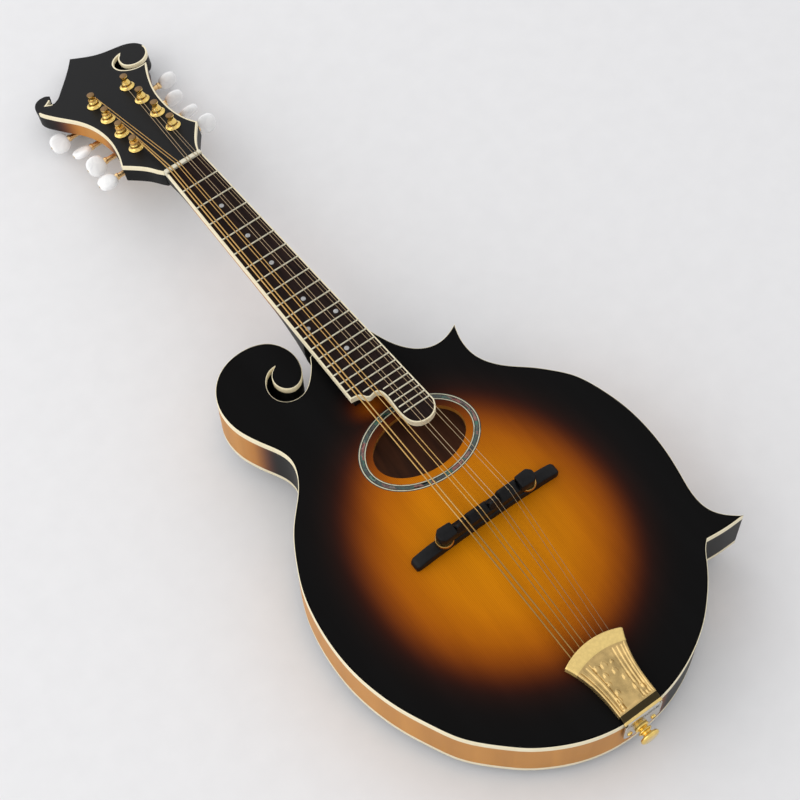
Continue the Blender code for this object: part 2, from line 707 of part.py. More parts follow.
def bridge_parts(body, saddle_frame):
    y = -BRIDGE_CENTRE
    stand_up = Matrix.Translation((0, y, 0)) @ Matrix.Rotation(math.pi / 2, 4, "X")
    spans = [-BRIDGE_HALF + 2 * BRIDGE_HALF * k / 24 for k in range(25)]
    foot = [(x, top_face(x, y) + GAP + 0.05) for x in spans]
    crown = []
    for x in spans[::-1]:
        fall = max(0.0, abs(x) - 41) / (BRIDGE_HALF - 41)
        crown.append((x, BRIDGE_TOP - 4.4 * fall**1.6))
    arch = prism([anticlockwise(foot + crown)], -BRIDGE_WIDTH / 2, BRIDGE_WIDTH / 2)
    base = place("bridge_base", moved(arch, stand_up), body, "ebony")
    top = [(-27, 26), (27, 26), (27, SADDLE_FOOT), (26, SADDLE_FOOT), (26, SADDLE_KEEL), (-26, SADDLE_KEEL),
           (-26, SADDLE_FOOT), (-27, SADDLE_FOOT)]
    bar = prism([anticlockwise(top)], -3.8, 3.8)
    saddle = place("bridge_saddle", moved(bar, stand_up), saddle_frame, "ebony")
    for sign in (-1, 1):
        lug = [(-6.4, -4.5), (3.2, -5.2), (6.3, -2), (6.3, 2), (3.2, 5.2), (-6.4, 4.5)]
        loop = anticlockwise([(sign * (LUG_CENTRE + a), y + b) for a, b in lug])
        shape_with(saddle, prism([loop], SADDLE_FOOT, 29.6), "UNION")
    lie = Matrix.Translation((0, y, 0)) @ Matrix.Rotation(math.pi / 2, 4, "Z")
    lie = lie @ Matrix.Rotation(math.pi / 2, 4, "X")
    for start, end, step in SADDLE_STEPS:
        high = SADDLE_CREST - 0.09 * step
        crest = [(-3.7, 25.5), (3.7, 25.5), (1.9 - step, high - 0.4), (1.5 - step, high), (0.3 - step, high),
                 (max(-3.6, -1.1 - step), 28)]
        loop = anticlockwise([(-a, b) for a, b in crest])
        shape_with(saddle, moved(prism([loop], start + 0.15, end - 0.15), lie), "UNION")
    for side, sign in TUNER_SIDES:
        x = sign * POST_SPREAD
        spot = Matrix.Translation((x, y, 0))
        shape_with(base, moved(turned(((THREAD_RADIUS + GAP, 12.8), (THREAD_RADIUS + GAP, 20)), 16), spot),
                   "DIFFERENCE")
        shape_with(saddle, moved(turned(((2.5, 18), (2.5, 28.4)), 16), spot), "DIFFERENCE")
        post = ((THREAD_RADIUS, 13.1), (THREAD_RADIUS, 26.4), (THREAD_RADIUS - 0.5, 26.9))
        place("bridge_post_" + side, moved(turned(post, 16), spot), body, "brass")
        bore = THREAD_RADIUS + GAP
        low, high = SADDLE_FOOT - GAP - WHEEL_THICKNESS, SADDLE_FOOT - GAP
        rim = ((bore, low), (WHEEL_RADIUS - 0.4, low), (WHEEL_RADIUS, low + 0.4), (WHEEL_RADIUS, high - 0.4),
               (WHEEL_RADIUS - 0.4, high), (bore, high))
        wheel_frame = make_frame("thumbwheel_" + side + "_axis", saddle_frame, (x, y, low), 0)
        place("thumbwheel_" + side, moved(ring_turned(rim, 22), Matrix.Translation((0, 0, -low))),
              wheel_frame, "brass")


# --- the tailpiece ------------------------------------------------------------------------


def cover_half(along):
    """Half the tailpiece cover's width, from its front at 0 to its rear at 1."""
    return 14.7 + 8.1 * max(0.0, 1 - along / 0.8) ** 2.2


def cover_top(along):
    """Height of the cover's top sheet: a lip at the front, then a slope that rolls down."""
    slope = 10.0 - 5.2 * along
    return slope - 1.8 * max(0.0, (along - 0.86) / 0.14) ** 2


def cover_shape():
    front, rear, wall = -456.5, -TAIL - 1.0, 0.9
    rings = []
    for k in range(13):
        along = k / 12
        ring = []
        half, high = cover_half(along), cover_top(along)
        low = min(high - 1.9, 0.9 + top_face(half, front + (rear - front) * along))
        for inward in (0, wall):
            w = half - inward
            level = high - inward
            row = []
            for j in range(9):
                t = -1 + 2 * j / 8
                bow = 5.5 * (1 - along) ** 2 * t**2
                row.append((w * t, front + (rear - front) * along - bow, level - 0.5 * t**4 * (1 - along)))
            ends = [(-w, row[0][1], low), (w, row[-1][1], low)]
            row = [ends[0]] + row + [ends[1]]
            ring += row if inward == 0 else row[::-1]
        rings.append(ring)
    return loft(rings)


def tailpiece_parts(body, cover_frame):
    stand_up = Matrix.Rotation(math.pi / 2, 4, "Z") @ Matrix.Rotation(math.pi / 2, 4, "X")
    wall = 1.2
    outer = TAIL + 0.5 + wall
    section = [(-463, 4.4), (-480, 2.2), (-495, 0.75), (-TAIL - 0.5, 0.35), (-TAIL - 0.5, -6),
               (-outer, -6), (-outer, 1.2), (-outer + 0.5, 1.55), (-495, 1.95), (-480, 3.4), (-463, 5.6)]
    plate = prism([anticlockwise(section)], -12.6, 12.6)
    base = place("tailpiece_base", moved(plate, stand_up), body, "steel")
    leg = [(14.6, -1.5), (-14.6, -1.5)]
    for k in range(13):
        t = math.pi * k / 12
        leg.append((-14.6 * math.cos(t), -18.5 - 11 * math.sin(t)))
    upright = Matrix.Translation((0, -TAIL - 0.5, 0)) @ Matrix.Rotation(math.pi / 2, 4, "X")
    shape_with(base, moved(prism([anticlockwise(leg)], 0, wall), upright), "UNION")
    drill = Matrix.Translation((0, -TAIL, PIN_HEIGHT)) @ Matrix.Rotation(math.pi / 2, 4, "X")
    shape_with(base, moved(turned(((3.8, -14), (3.8, 14)), 20), drill), "DIFFERENCE")
    place("tailpiece_cover", cover_shape(), cover_frame, "gold")
    reach = ((3.4, -22), (3.4, 2.2), (5.1, 2.2), (5.1, 2.9), (3.4, 4.1), (4.9, 5), (4.9, 6), (3.2, 7),
             (3.5, 8.1), (6.8, 9.2), (6.8, 11.2), (5.8, 12.1))
    place("end_pin", moved(turned(reach, 18), drill), body, "gold")


# --- tuners -------------------------------------------------------------------------------


def post_places():
    """Every tuner post's side, and its place on the headstock's face."""
    for side, sign in TUNER_SIDES:
        for k in range(4):
            yield side, sign * POST_HALF[k], POST_START + POST_STEP * k


def worm_axis(side, k):
    sign = -1 if side == "bass" else 1
    return sign * POST_HALF[k], POST_START + POST_STEP * k + WORM_OFFSET


def tuner_plate(side, sign, head):
    low = -HEAD_THICKNESS - GAP - 1.5
    centre = sign * 15.35
    start, end = POST_START - 9, POST_START + 3 * POST_STEP + WORM_OFFSET + 9
    loop = []
    for y, turn in ((end - 6.5, 0), (start + 6.5, math.pi)):
        loop += [(centre + 7.6 * math.cos(turn + math.pi * j / 8), y + 6.5 * math.sin(turn + math.pi * j / 8))
                 for j in range(9)]
    plate = place("tuner_plate_" + side, prism([anticlockwise(loop)], low, low + 1.5), head, "gold")
    lugs, bores = [], []
    for k in range(4):
        _, y = worm_axis(side, k)
        for x in (centre - 6.2, centre + 6.2):
            lugs.append(prism([rectangle(x - 1, x + 1, y - 2.9, y + 2.9)], WORM_LEVEL - 2.9, low + 0.7))
        lie = Matrix.Translation((centre, y, WORM_LEVEL)) @ Matrix.Rotation(math.pi / 2, 4, "Y")
        bores.append(moved(turned(((1.95, -9), (1.95, 9)), 12), lie))
        hole = Matrix.Translation((sign * POST_HALF[k], POST_START + POST_STEP * k, low))
        bores.append(moved(turned(((POST_RADIUS + 0.3, -1), (POST_RADIUS + 0.3, 2.5)), 16), hole))
    shape_with(plate, joined(lugs), "UNION")
    shape_with(plate, joined(bores), "DIFFERENCE")


def tuner_post(name, x, y, head):
    """A post with its gear at the foot, about its own axis."""
    frame = make_frame(name + "_axis", head, (x, y, 0), 0)
    foot = WORM_LEVEL - 1.6
    profile = ((1.6, foot - 0.9), (1.6, foot), (GEAR_RADIUS, foot), (GEAR_RADIUS, foot + 3.2),
               (POST_RADIUS, foot + 3.2), (POST_RADIUS, 4.2), (2.3, 5.2), (2.3, 6.8), (3.2, 9.2),
               (3.2, POST_TOP - 0.3), (2.9, POST_TOP))
    place(name, turned(profile, 14), frame, "gold")


def tuner_key(name, side, sign, k, head):
    """A worm, its shaft and its button, about their own axis, which points outwards."""
    x, y = worm_axis(side, k)
    frame = bpy.data.objects.new(name + "_axis", None)
    bpy.context.collection.objects.link(frame)
    frame.parent = head
    outward = Matrix.Rotation(sign * math.pi / 2, 4, "Y")
    frame.matrix_local = Matrix.Translation(Vector((x, y, WORM_LEVEL)) * MM) @ outward
    reach = BUTTON_REACH[k] - abs(x)
    shift = 15.35 - abs(x)
    start, worm = shift - 7.6, 4.6
    rings = []
    stations = [(1.65, start), (1.65, shift - worm), (2.2, shift - worm), (2.2, shift + worm),
                (1.65, shift + worm), (1.65, reach - 10.2), (2.3, reach - 9.8), (2.3, reach - 7.2)]
    for radius, height in stations:
        rings.append([(radius * math.cos(t), radius * math.sin(t), height)
                      for t in (2 * math.pi * j / 12 for j in range(12))])
    for j in range(7):
        t = math.pi * (0.11 + 0.85 * j / 6)
        swell = math.sin(t) ** 0.8
        height = reach - 6.6 * math.cos(t)
        rings.append([(8.2 * swell * math.cos(a), (3.0 * swell + 0.5) * math.sin(a), height)
                      for a in (2 * math.pi * i / 12 for i in range(12))])
    key = place(name, loft(rings), frame, "pearloid")
    key.rotation_euler = (0, 0, math.radians(BUTTON_TURN[side][k]))


def tuner_parts(head):
    for side, sign in TUNER_SIDES:
        tuner_plate(side, sign, head)
        for k in range(4):
            number = str(k + 1)
            x, y = sign * POST_HALF[k], POST_START + POST_STEP * k
            tuner_post("tuner_post_" + side + "_" + number, x, y, head)
            tuner_key("tuner_key_" + side + "_" + number, side, sign, k, head)
            bore = POST_RADIUS + 0.3
            collar = ((bore, -6), (4.2, -6), (4.2, GAP), (5.3, GAP), (5.3, 1.1), (4.4, 1.9), (bore, 1.9))
            place("tuner_bushing_" + side + "_" + number,
                  moved(ring_turned(collar, 14), Matrix.Translation((x, y, 0))), head, "gold")


# --- strings ------------------------------------------------------------------------------


def string_parts(body, neck_to_body, head_to_body):
    order = {"g": (0, 1), "d": (2, 3), "a": (3, 2), "e": (1, 0)}
    for course, nut_x, saddle_x, tail_x, radius in COURSES:
        sign = -1 if nut_x < 0 else 1
        for pair in (0, 1):
            shift = -1 if pair == 0 else 1
            at_nut = nut_x + shift * PAIR_AT_NUT
            k = order[course][pair]
            side = sign * (POST_HALF[k] - POST_RADIUS - radius - 0.1)
            post = Vector((side, POST_START + POST_STEP * k, 5.8))
            path = [
                head_to_body @ post,
                neck_to_body @ Vector((at_nut, NUT_BACK, 1.3 + radius)),
                neck_to_body @ Vector((at_nut, NUT_FRONT, 1.5 + radius)),
                neck_to_body @ Vector((saddle_x + shift * PAIR_AT_SADDLE, -SCALE_LENGTH - 2.3, 4.6 + radius)),
                Vector((tail_x + shift * PAIR_AT_TAIL, -456.0, 7.9)),
                Vector((tail_x + shift * PAIR_AT_TAIL, -466.0, 7.4)),
            ]
            finish = "bronze" if course in "gd" else "steel"
            place("string_" + course + str(pair + 1), tube(path, radius, 6), body, finish)


def main():
    for old in list(bpy.data.objects):
        bpy.data.objects.remove(old, do_unlink=True)
    lie = body_to_world()
    body = make_frame("body_frame", None, lie.translation, REST_TILT)
    neck = make_frame("neck_frame", body, (0, -0.2, NUT_HEIGHT), -NECK_PITCH)
    head = make_frame("head_frame", neck, (0, HEAD_START, -HEAD_DROP), -HEAD_TILT)
    saddle = make_frame("saddle_frame", body, (0, 0, 0), 0)
    cover = make_frame("cover_frame", body, (0, 0, 0), 0)
    neck_to_body = Matrix.Translation((0, -0.2, NUT_HEIGHT)) @ Matrix.Rotation(-NECK_PITCH, 4, "X")
    head_to_neck = Matrix.Translation((0, HEAD_START, -HEAD_DROP)) @ Matrix.Rotation(-HEAD_TILT, 4, "X")

    body_parts(body)
    neck_parts(neck, head, neck_to_body.inverted())
    heel_cap(body)
    bridge_parts(body, saddle)
    tailpiece_parts(body, cover)
    tuner_parts(head)
    string_parts(body, neck_to_body, neck_to_body @ head_to_neck)
    bpy.context.view_layer.update()


main()
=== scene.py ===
import math
import random

import bmesh
import bpy
import numpy as np
from mathutils import Matrix, Vector
from mathutils.geometry import delaunay_2d_cdt


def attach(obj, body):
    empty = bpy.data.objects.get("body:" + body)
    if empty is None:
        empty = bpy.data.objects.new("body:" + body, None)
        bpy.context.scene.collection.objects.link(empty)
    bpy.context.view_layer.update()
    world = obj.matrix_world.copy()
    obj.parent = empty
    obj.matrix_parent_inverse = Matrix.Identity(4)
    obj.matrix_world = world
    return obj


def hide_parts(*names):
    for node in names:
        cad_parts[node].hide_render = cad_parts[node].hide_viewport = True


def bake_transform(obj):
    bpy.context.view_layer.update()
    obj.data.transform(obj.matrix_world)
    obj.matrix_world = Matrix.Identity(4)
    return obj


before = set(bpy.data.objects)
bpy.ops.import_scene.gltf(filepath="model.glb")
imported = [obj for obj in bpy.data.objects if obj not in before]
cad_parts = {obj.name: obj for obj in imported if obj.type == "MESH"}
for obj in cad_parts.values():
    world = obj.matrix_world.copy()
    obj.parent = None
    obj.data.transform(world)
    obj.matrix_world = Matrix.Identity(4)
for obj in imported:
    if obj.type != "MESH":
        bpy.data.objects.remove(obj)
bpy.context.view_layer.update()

# Lengths are in millimetres in the body's, neck's or headstock's own frame, as in the CAD.
MM = 0.001
SCALE_LENGTH = 352.4
NECK_PITCH = math.radians(4.65)
HEAD_TILT = math.radians(13.5)
REST_TILT = math.radians(1.683)
NUT_HEIGHT = -2.56
HEAD_START = 5.5
HEAD_DROP = 2.3
BODY_DEPTH = 45.0
PLATE_EDGE = 4.5
TOP_ARCH = 11.5
BACK_ARCH = 13.0
BACK_CROWN = 350.0
REST_PLACE = BACK_CROWN + 14.2
REST_FLAT = 0.25
BODY_START = 176.0
BINDING_WIDTH = 1.5
BINDING_HEIGHT = 6.0
RIB_THICKNESS = 2.4
# The soundhole and the rings inlaid round it are ovals, given as half widths across and along.
HOLE_CENTRE = 281.0
HOLE_RADII = (33.9, 23.8)
ROSETTE_INNER = (38.5, 28.8)
ROSETTE_OUTER = (43.7, 34.0)
BOARD_THICKNESS = 5.0
BOARD_NUT_HALF = 14.95
BOARD_TAPER = 0.0265
BOARD_BINDING = 1.0
NUT_FRONT = 0.8
NUT_BACK = 4.85
HEAD_THICKNESS = 13.5
OVERLAY = 3.0
HEAD_BINDING = 1.15
BRIDGE_CENTRE = 351.8
BRIDGE_HALF = 57
POST_SPREAD = 33.0
SADDLE_FOOT = 21.1
SADDLE_KEEL = 18.3
SADDLE_CREST = 30.5
LUG_CENTRE = 32.0
SADDLE_STEPS = ((-25.0, -15.4, 0.0), (-15.4, 1.2, 2.2), (1.2, 9.9, 0.0), (9.9, 25.2, 3.0))
WHEEL_THICKNESS = 2.8
TAIL = 510.5
TAIL_HALF = 12.6
LEG_HALF = 14.6
PIN_HEIGHT = -22.0
COVER_FRONT = -456.5
COVER_REAR = -TAIL - 1.0
POST_START = 40.0
POST_STEP = 23.05
POST_HALF = (16.1, 15.6, 15.1, 14.6)
WORM_OFFSET = 8.0
WORM_LEVEL = -20.0
WORM_RADIUS = 2.08
WORM_HALF = 4.3
PLATE_CENTRE = 15.35
GEAR_TEETH = 16
GEAR_TIP = 5.82
BUTTON_REACH = (43.5, 41.0, 41.0, 48.5)
BUTTON_TURN = {"bass": (87, 42, 110, 44), "treble": (-5, 34, 18, 12)}
SIDES = (("bass", -1), ("treble", 1))
# Each course's name, its place at the nut, the saddle and the tailpiece, and its strings' radius.
PAIR_AT_NUT = 1.1
PAIR_AT_SADDLE = 1.5
PAIR_AT_TAIL = 1.9
COURSES = (
    ("g", -10.85, -18.6, -13.1, 0.50),
    ("d", -3.95, -6.2, -4.7, 0.33),
    ("a", 3.95, 6.2, 4.7, 0.19),
    ("e", 10.85, 18.6, 13.1, 0.15),
)

# Outlines are lists of smooth runs that meet at corners, seen from above: place across, then
# distance from the nut (for the headstock, from its own start). The treble side is +X.
BODY_RUNS = (
    ((19.8, 176), (21.4, 182.5), (24.4, 191), (28.6, 202.5), (33.2, 211.5), (38.6, 218.5),
     (45, 223.6), (52, 226.3), (59, 226.7), (66, 225.1), (73.6, 221.7)),
    ((73.6, 221.7), (70.6, 231), (69.3, 241), (70.6, 250.5), (74.6, 259), (84, 270), (95.4, 280),
     (105, 290), (113, 300), (121.6, 320), (126.4, 340), (128, 360), (127, 380), (123.6, 400),
     (120.4, 420), (122.2, 431), (128.3, 440), (136.8, 447.2)),
    ((136.8, 447.2), (122, 447.2), (107.5, 445.8)),
    ((107.5, 445.8), (103.4, 449.3), (98, 456.5), (90, 467.2), (80, 477.9), (70, 486.8), (60, 493.7),
     (45, 501.5), (30, 506.8), (15, 509.7), (0, TAIL), (-15, 509.7), (-30, 506.8), (-45, 501.5),
     (-60, 493.7), (-70, 487), (-80, 478.3), (-90, 468.5), (-100, 456.5), (-109, 440), (-118, 420),
     (-124.2, 400), (-127.7, 380), (-128.3, 360), (-126.4, 340), (-121.7, 320), (-113, 300),
     (-100.8, 280), (-92, 270), (-83.6, 260.5), (-77.2, 250), (-74.6, 240), (-76.6, 230),
     (-81.7, 220), (-86.7, 210), (-90.4, 200), (-91.9, 190), (-91.2, 180), (-87.3, 169.5),
     (-80, 160.5), (-70, 154.5), (-57, 152), (-45, 153.6), (-36, 158.4), (-30.2, 166),
     (-27.4, 176), (-28.2, 184), (-31, 190.5), (-35.2, 194.6), (-40.5, 196.3), (-45.7, 194.8),
     (-49.3, 190.8), (-50.6, 186), (-49.7, 181.4), (-47.2, 178), (-43, 175.3)),
    ((-43, 175.3), (-47.8, 176.1), (-52.4, 179), (-56, 184), (-57.6, 191), (-56, 197.5),
     (-51.5, 202.3), (-45, 204.4), (-38.5, 203.6), (-33, 200.4), (-27, 194.4), (-22.6, 188.6),
     (-19.8, 183.5)),
)
HEAD_RUNS = (
    ((15.2, 0.3), (16.5, 4.5), (19.8, 12.4), (24.3, 20), (31.3, 30.5)),
    ((31.3, 30.5), (28.6, 37), (26.5, 45), (25.2, 54), (24.8, 64), (25.3, 74), (26.4, 84),
     (28.5, 94), (31.5, 104), (35.2, 114), (39.8, 124.2)),
    ((39.8, 124.2), (35, 123.6), (29.5, 124.6), (24.5, 127.6), (20.8, 132), (19.4, 137.5),
     (20.6, 143), (24.3, 147.3), (29.6, 149.8)),
    ((29.6, 149.8), (26.2, 145.5), (24.9, 140), (25.6, 134.8), (28.8, 130.6), (33.5, 128.4),
     (38.8, 128.6), (43.5, 131.2), (47, 135.6), (48.7, 141), (48.4, 147), (45.5, 152.8),
     (40.5, 157), (34, 159.4), (27, 161), (20, 163), (13, 166.4), (6, 171.3), (-0.8, 176.7)),
    ((-0.8, 176.7), (-5, 170.6), (-12, 161.5), (-20, 152), (-27, 144), (-31.5, 139.3),
     (-35.8, 137)),
    ((-35.8, 137), (-38.6, 138), (-41.3, 139.9)),
    ((-41.3, 139.9), (-38.2, 142), (-35.4, 145), (-34.2, 148)),
    ((-34.2, 148), (-36.8, 150.4), (-41, 151), (-45.5, 149.3), (-48.8, 145), (-50.3, 139.5),
     (-49.6, 134), (-47, 127.5), (-43, 119.5), (-38.6, 111.5), (-34.3, 103.5), (-31, 95.5),
     (-28.6, 87), (-27.2, 78), (-26.7, 69), (-27.2, 59.5), (-28.7, 50), (-31, 40.5), (-34.6, 30)),
    ((-34.6, 30), (-25.7, 19), (-21, 11.5), (-17.8, 4.5), (-15.4, 0.3)),
)
BOARD_END = (
    (-21.16, 234.4), (-17.6, 234.8), (-14.4, 236.2), (-12.4, 239.2), (-9.8, 240.8), (-5.6, 240),
    (-3, 241), (-1.7, 244), (-1.5, 252), (-1.5, 268), (0.3, 273), (5, 277), (10.2, 277.9),
    (15.4, 276.7), (19.8, 272.8), (22.05, 268),
)


# --- curves and outlines ---

def smooth_run(points, step):
    """Points about step apart on the natural cubic spline through the given points."""
    given = np.array(points, dtype=float)
    if len(given) == 2:
        count = max(1, round(math.dist(*points) / step))
        return [tuple(given[0] + (given[1] - given[0]) * k / count) for k in range(count + 1)]
    knots = np.concatenate(([0.0], np.cumsum(np.linalg.norm(np.diff(given, axis=0), axis=1))))
    spans = np.diff(knots)
    count = len(given)
    matrix = np.eye(count)
    right = np.zeros((count, given.shape[1]))
    for i in range(1, count - 1):
        matrix[i, i - 1:i + 2] = (spans[i - 1], 2 * (spans[i - 1] + spans[i]), spans[i])
        right[i] = 6 * ((given[i + 1] - given[i]) / spans[i] - (given[i] - given[i - 1]) / spans[i - 1])
    bends = np.linalg.solve(matrix, right)
    out = []
    for place in np.linspace(0, knots[-1], max(2, round(knots[-1] / step)) + 1):
        i = min(max(int(np.searchsorted(knots, place)) - 1, 0), count - 2)
        a, b, h = knots[i + 1] - place, place - knots[i], spans[i]
        out.append(tuple(
            (bends[i] * a**3 + bends[i + 1] * b**3) / (6 * h)
            + (given[i] / h - bends[i] * h / 6) * a
            + (given[i + 1] / h - bends[i + 1] * h / 6) * b
        ))
    return out


def anticlockwise(loop):
    turned_by = sum(a[0] * b[1] - b[0] * a[1] for a, b in zip(loop, loop[1:] + loop[:1]))
    return loop if turned_by > 0 else loop[::-1]


def outline(runs, step, flip=False):
    """One closed anticlockwise loop of (x, y) points, with y pointing to the headstock."""
    loop = []
    for run in runs:
        for point in smooth_run(run, step):
            if not loop or math.dist(loop[-1], point) > 0.02:
                loop.append(point)
    if math.dist(loop[0], loop[-1]) < 0.02:
        loop.pop()
    if flip:
        loop = [(x, -y) for x, y in loop]
    return anticlockwise(loop)


def distances(loop, points):
    """How far each point is from the nearest side of a closed loop."""
    a = np.array(loop)
    side = np.roll(a, -1, axis=0) - a
    length2 = (side * side).sum(axis=1)
    out = np.empty(len(points))
    for i in range(0, len(points), 2000):
        p = np.asarray(points)[i:i + 2000, None, :]
        t = np.clip(((p - a) * side).sum(axis=2) / length2, 0, 1)
        out[i:i + 2000] = np.linalg.norm(a + side * t[..., None] - p, axis=2).min(axis=1)
    return out


def inside(loop, points):
    """Which points are within a closed loop."""
    points = np.asarray(points)
    hit = np.zeros(len(points), bool)
    for (ax, ay), (bx, by) in zip(loop, loop[1:] + loop[:1]):
        if ay == by:
            continue
        crosses = (ay > points[:, 1]) != (by > points[:, 1])
        hit ^= crosses & (points[:, 0] < (bx - ax) * (points[:, 1] - ay) / (by - ay) + ax)
    return hit


def inward(loop, limit=2.0):
    """At each corner of a loop, the move that shifts both its sides in by one."""
    moves = []
    for i, corner in enumerate(loop):
        here = Vector(corner)
        before = (here - Vector(loop[i - 1])).normalized()
        after = (Vector(loop[(i + 1) % len(loop)]) - here).normalized()
        turn = math.atan2(before.x * after.y - before.y * after.x, before.dot(after))
        way = Vector((-before.y - after.y, before.x + after.x)).normalized()
        moves.append(way * min(limit, 1 / max(0.05, math.cos(turn / 2))))
    return moves


def shifted(loop, width):
    """A loop moved in by a width, and by less where it is too narrow, as in a sharp point."""
    base = np.array(loop)
    moves = np.array(inward(loop))
    reach = np.full(len(loop), float(width))
    for _ in range(14):
        points = base + moves * reach[:, None]
        tight = (distances(loop, points) < 0.7 * reach) | ~inside(loop, points)
        if not tight.any():
            break
        reach[tight] *= 0.75
    return [tuple(p) for p in points]


def ellipse(a, b, centre, count):
    turns = (2 * math.pi * k / count for k in range(count))
    return [(a * math.cos(t) + centre[0], b * math.sin(t) + centre[1]) for t in turns]


# --- meshes: each shape is (points, faces, material number of each face or None) ---

def fill(loops, spacing=None):
    """Triangles covering a loop with holes, with a staggered grid of points inside it."""
    flat = [Vector(p) for loop in loops for p in loop]
    edges = []
    start = 0
    for loop in loops:
        order = list(range(start, start + len(loop)))
        edges += list(zip(order, order[1:] + order[:1]))
        start += len(loop)
    if spacing:
        low, high = np.min(loops[0], axis=0), np.max(loops[0], axis=0)
        grid = [(x, y) for row, y in enumerate(np.arange(low[1] + spacing / 2, high[1], spacing * 0.87))
                for x in np.arange(low[0] + spacing / 2 * (1 + row % 2), high[0], spacing)]
        keep = inside(loops[0], grid)
        for hole in loops[1:]:
            keep &= ~inside(hole, grid)
        for loop in loops:
            keep &= distances(loop, grid) > spacing * 0.5
        flat += [Vector(p) for p, k in zip(grid, keep) if k]
    verts, _, faces, _, _, _ = delaunay_2d_cdt(flat, edges, [], 0, 1e-6)
    middles = [tuple((verts[a] + verts[b] + verts[c]) / 3) for a, b, c in faces]
    keep = inside(loops[0], middles)
    for hole in loops[1:]:
        keep &= ~inside(hole, middles)
    kept = []
    for (a, b, c), k in zip(faces, keep):
        if k:
            first, second = verts[b] - verts[a], verts[c] - verts[a]
            kept.append((a, b, c) if first.x * second.y > first.y * second.x else (a, c, b))
    return [tuple(v) for v in verts], kept


def slab(loops, top, bottom, spacing=None, numbers=(0, 0, 0)):
    """A slab between two height functions; numbers are its top, bottom and edge materials."""
    verts, faces = fill(loops, spacing)
    count = len(verts)
    points = [(x, y, bottom(x, y)) for x, y in verts] + [(x, y, top(x, y)) for x, y in verts]
    out, marks = [], []
    border = {}
    for a, b, c in faces:
        out += [(a + count, b + count, c + count), (c, b, a)]
        marks += [numbers[0], numbers[1]]
        for edge in ((a, b), (b, c), (c, a)):
            if edge[::-1] in border:
                del border[edge[::-1]]
            else:
                border[edge] = True
    for a, b in border:
        out.append((a, b, b + count, a + count))
        marks.append(numbers[2])
    return points, out, marks


def prism(loops, low, high, numbers=(0, 0, 0)):
    return slab(loops, lambda x, y: high, lambda x, y: low, None, numbers)


def band(loop, section, numbers=None, closed=True):
    """A strip that follows a loop: its section is a loop of (inward, height) pairs."""
    rails = {w: shifted(loop, w) if w > 0 else loop for w, _ in section}
    points = [(*rails[w][i], z) for i in range(len(loop)) for w, z in section]
    faces, marks = [], []
    size = len(section)
    last = len(loop) if closed else len(loop) - 1
    for i in range(last):
        j = (i + 1) % len(loop)
        for k in range(size):
            n = (k + 1) % size
            faces.append((i * size + k, i * size + n, j * size + n, j * size + k))
            marks.append(numbers[k] if numbers else 0)
    if not closed:
        faces += [tuple(range(size)), tuple(range((len(loop) - 1) * size, len(loop) * size))[::-1]]
        marks += [0, 0]
    return points, faces, marks


def loft(sections, numbers=None, ends=True):
    size = len(sections[0])
    points = [point for ring in sections for point in ring]
    faces, marks = [], []
    for k in range(len(sections) - 1):
        for i in range(size):
            a, b = k * size + i, k * size + (i + 1) % size
            faces.append((a, b, b + size, a + size))
            marks.append(numbers[k] if numbers else 0)
    if ends:
        faces.append(tuple(range(size))[::-1])
        faces.append(tuple(range((len(sections) - 1) * size, len(sections) * size)))
        marks += [numbers[0], numbers[-1]] if numbers else [0, 0]
    return points, faces, marks


def turned(profile, sides, numbers=None, bore=False):
    """A round solid about Z from (radius, height) pairs; with a bore its profile is a closed loop."""
    rings = []
    for k in range(sides):
        t = 2 * math.pi * k / sides
        rings.append([(r * math.cos(t), r * math.sin(t), h) for r, h in profile])
    size = len(profile)
    faces, marks = [], []
    for k in range(sides):
        n = (k + 1) % sides
        for i in range(size if bore else size - 1):
            j = (i + 1) % size
            faces.append((k * size + i, n * size + i, n * size + j, k * size + j))
            marks.append(numbers[i] if numbers else 0)
    if not bore:
        faces.append(tuple(k * size for k in range(sides))[::-1])
        faces.append(tuple(k * size + size - 1 for k in range(sides)))
        marks += [numbers[0], numbers[-1]] if numbers else [0, 0]
    return [p for ring in rings for p in ring], faces, marks


def tube(path, radius, sides, close=False):
    """A round rod through points; radius may be a number or a function of the place from 0 to 1."""
    path = [Vector(p) for p in path]
    rings = []
    over = None
    for k, point in enumerate(path):
        if close:
            ahead = path[(k + 1) % len(path)] - path[k - 1]
        else:
            ahead = path[min(k + 1, len(path) - 1)] - path[max(k - 1, 0)]
        ahead.normalize()
        if over is None:
            over = ahead.cross(Vector((0, 0, 1)) if abs(ahead.z) < 0.9 else Vector((1, 0, 0))).normalized()
        over = (over - ahead * over.dot(ahead)).normalized()
        across = ahead.cross(over)
        r = radius(k / (len(path) - 1)) if callable(radius) else radius
        turns = (2 * math.pi * i / sides for i in range(sides))
        rings.append([tuple(point + (over * math.cos(t) + across * math.sin(t)) * r) for t in turns])
    if close:
        shape = loft(rings, ends=False)
        size, last = sides, (len(rings) - 1) * sides
        for i in range(size):
            n = (i + 1) % size
            shape[1].append((last + i, last + n, n, i))
            shape[2].append(0)
        return shape
    return loft(rings)


def moved(shape, matrix):
    return [tuple(matrix @ Vector(point)) for point in shape[0]], shape[1], shape[2]


def marked(shape, number):
    return shape[0], shape[1], [number] * len(shape[1])


def joined(*shapes):
    points, faces, marks = [], [], []
    for shape in shapes:
        shift = len(points)
        points += list(shape[0])
        faces += [tuple(i + shift for i in face) for face in shape[1]]
        marks += list(shape[2])
    return points, faces, marks


def across(x, section):
    """A loft's ring: a section of (y, z) pairs at one place across."""
    return [(x, y, z) for y, z in section]


def at(x, y, z):
    return Matrix.Translation((x, y, z))


def spun(angle, axis):
    return Matrix.Rotation(angle, 4, axis)


# --- the three frames ---

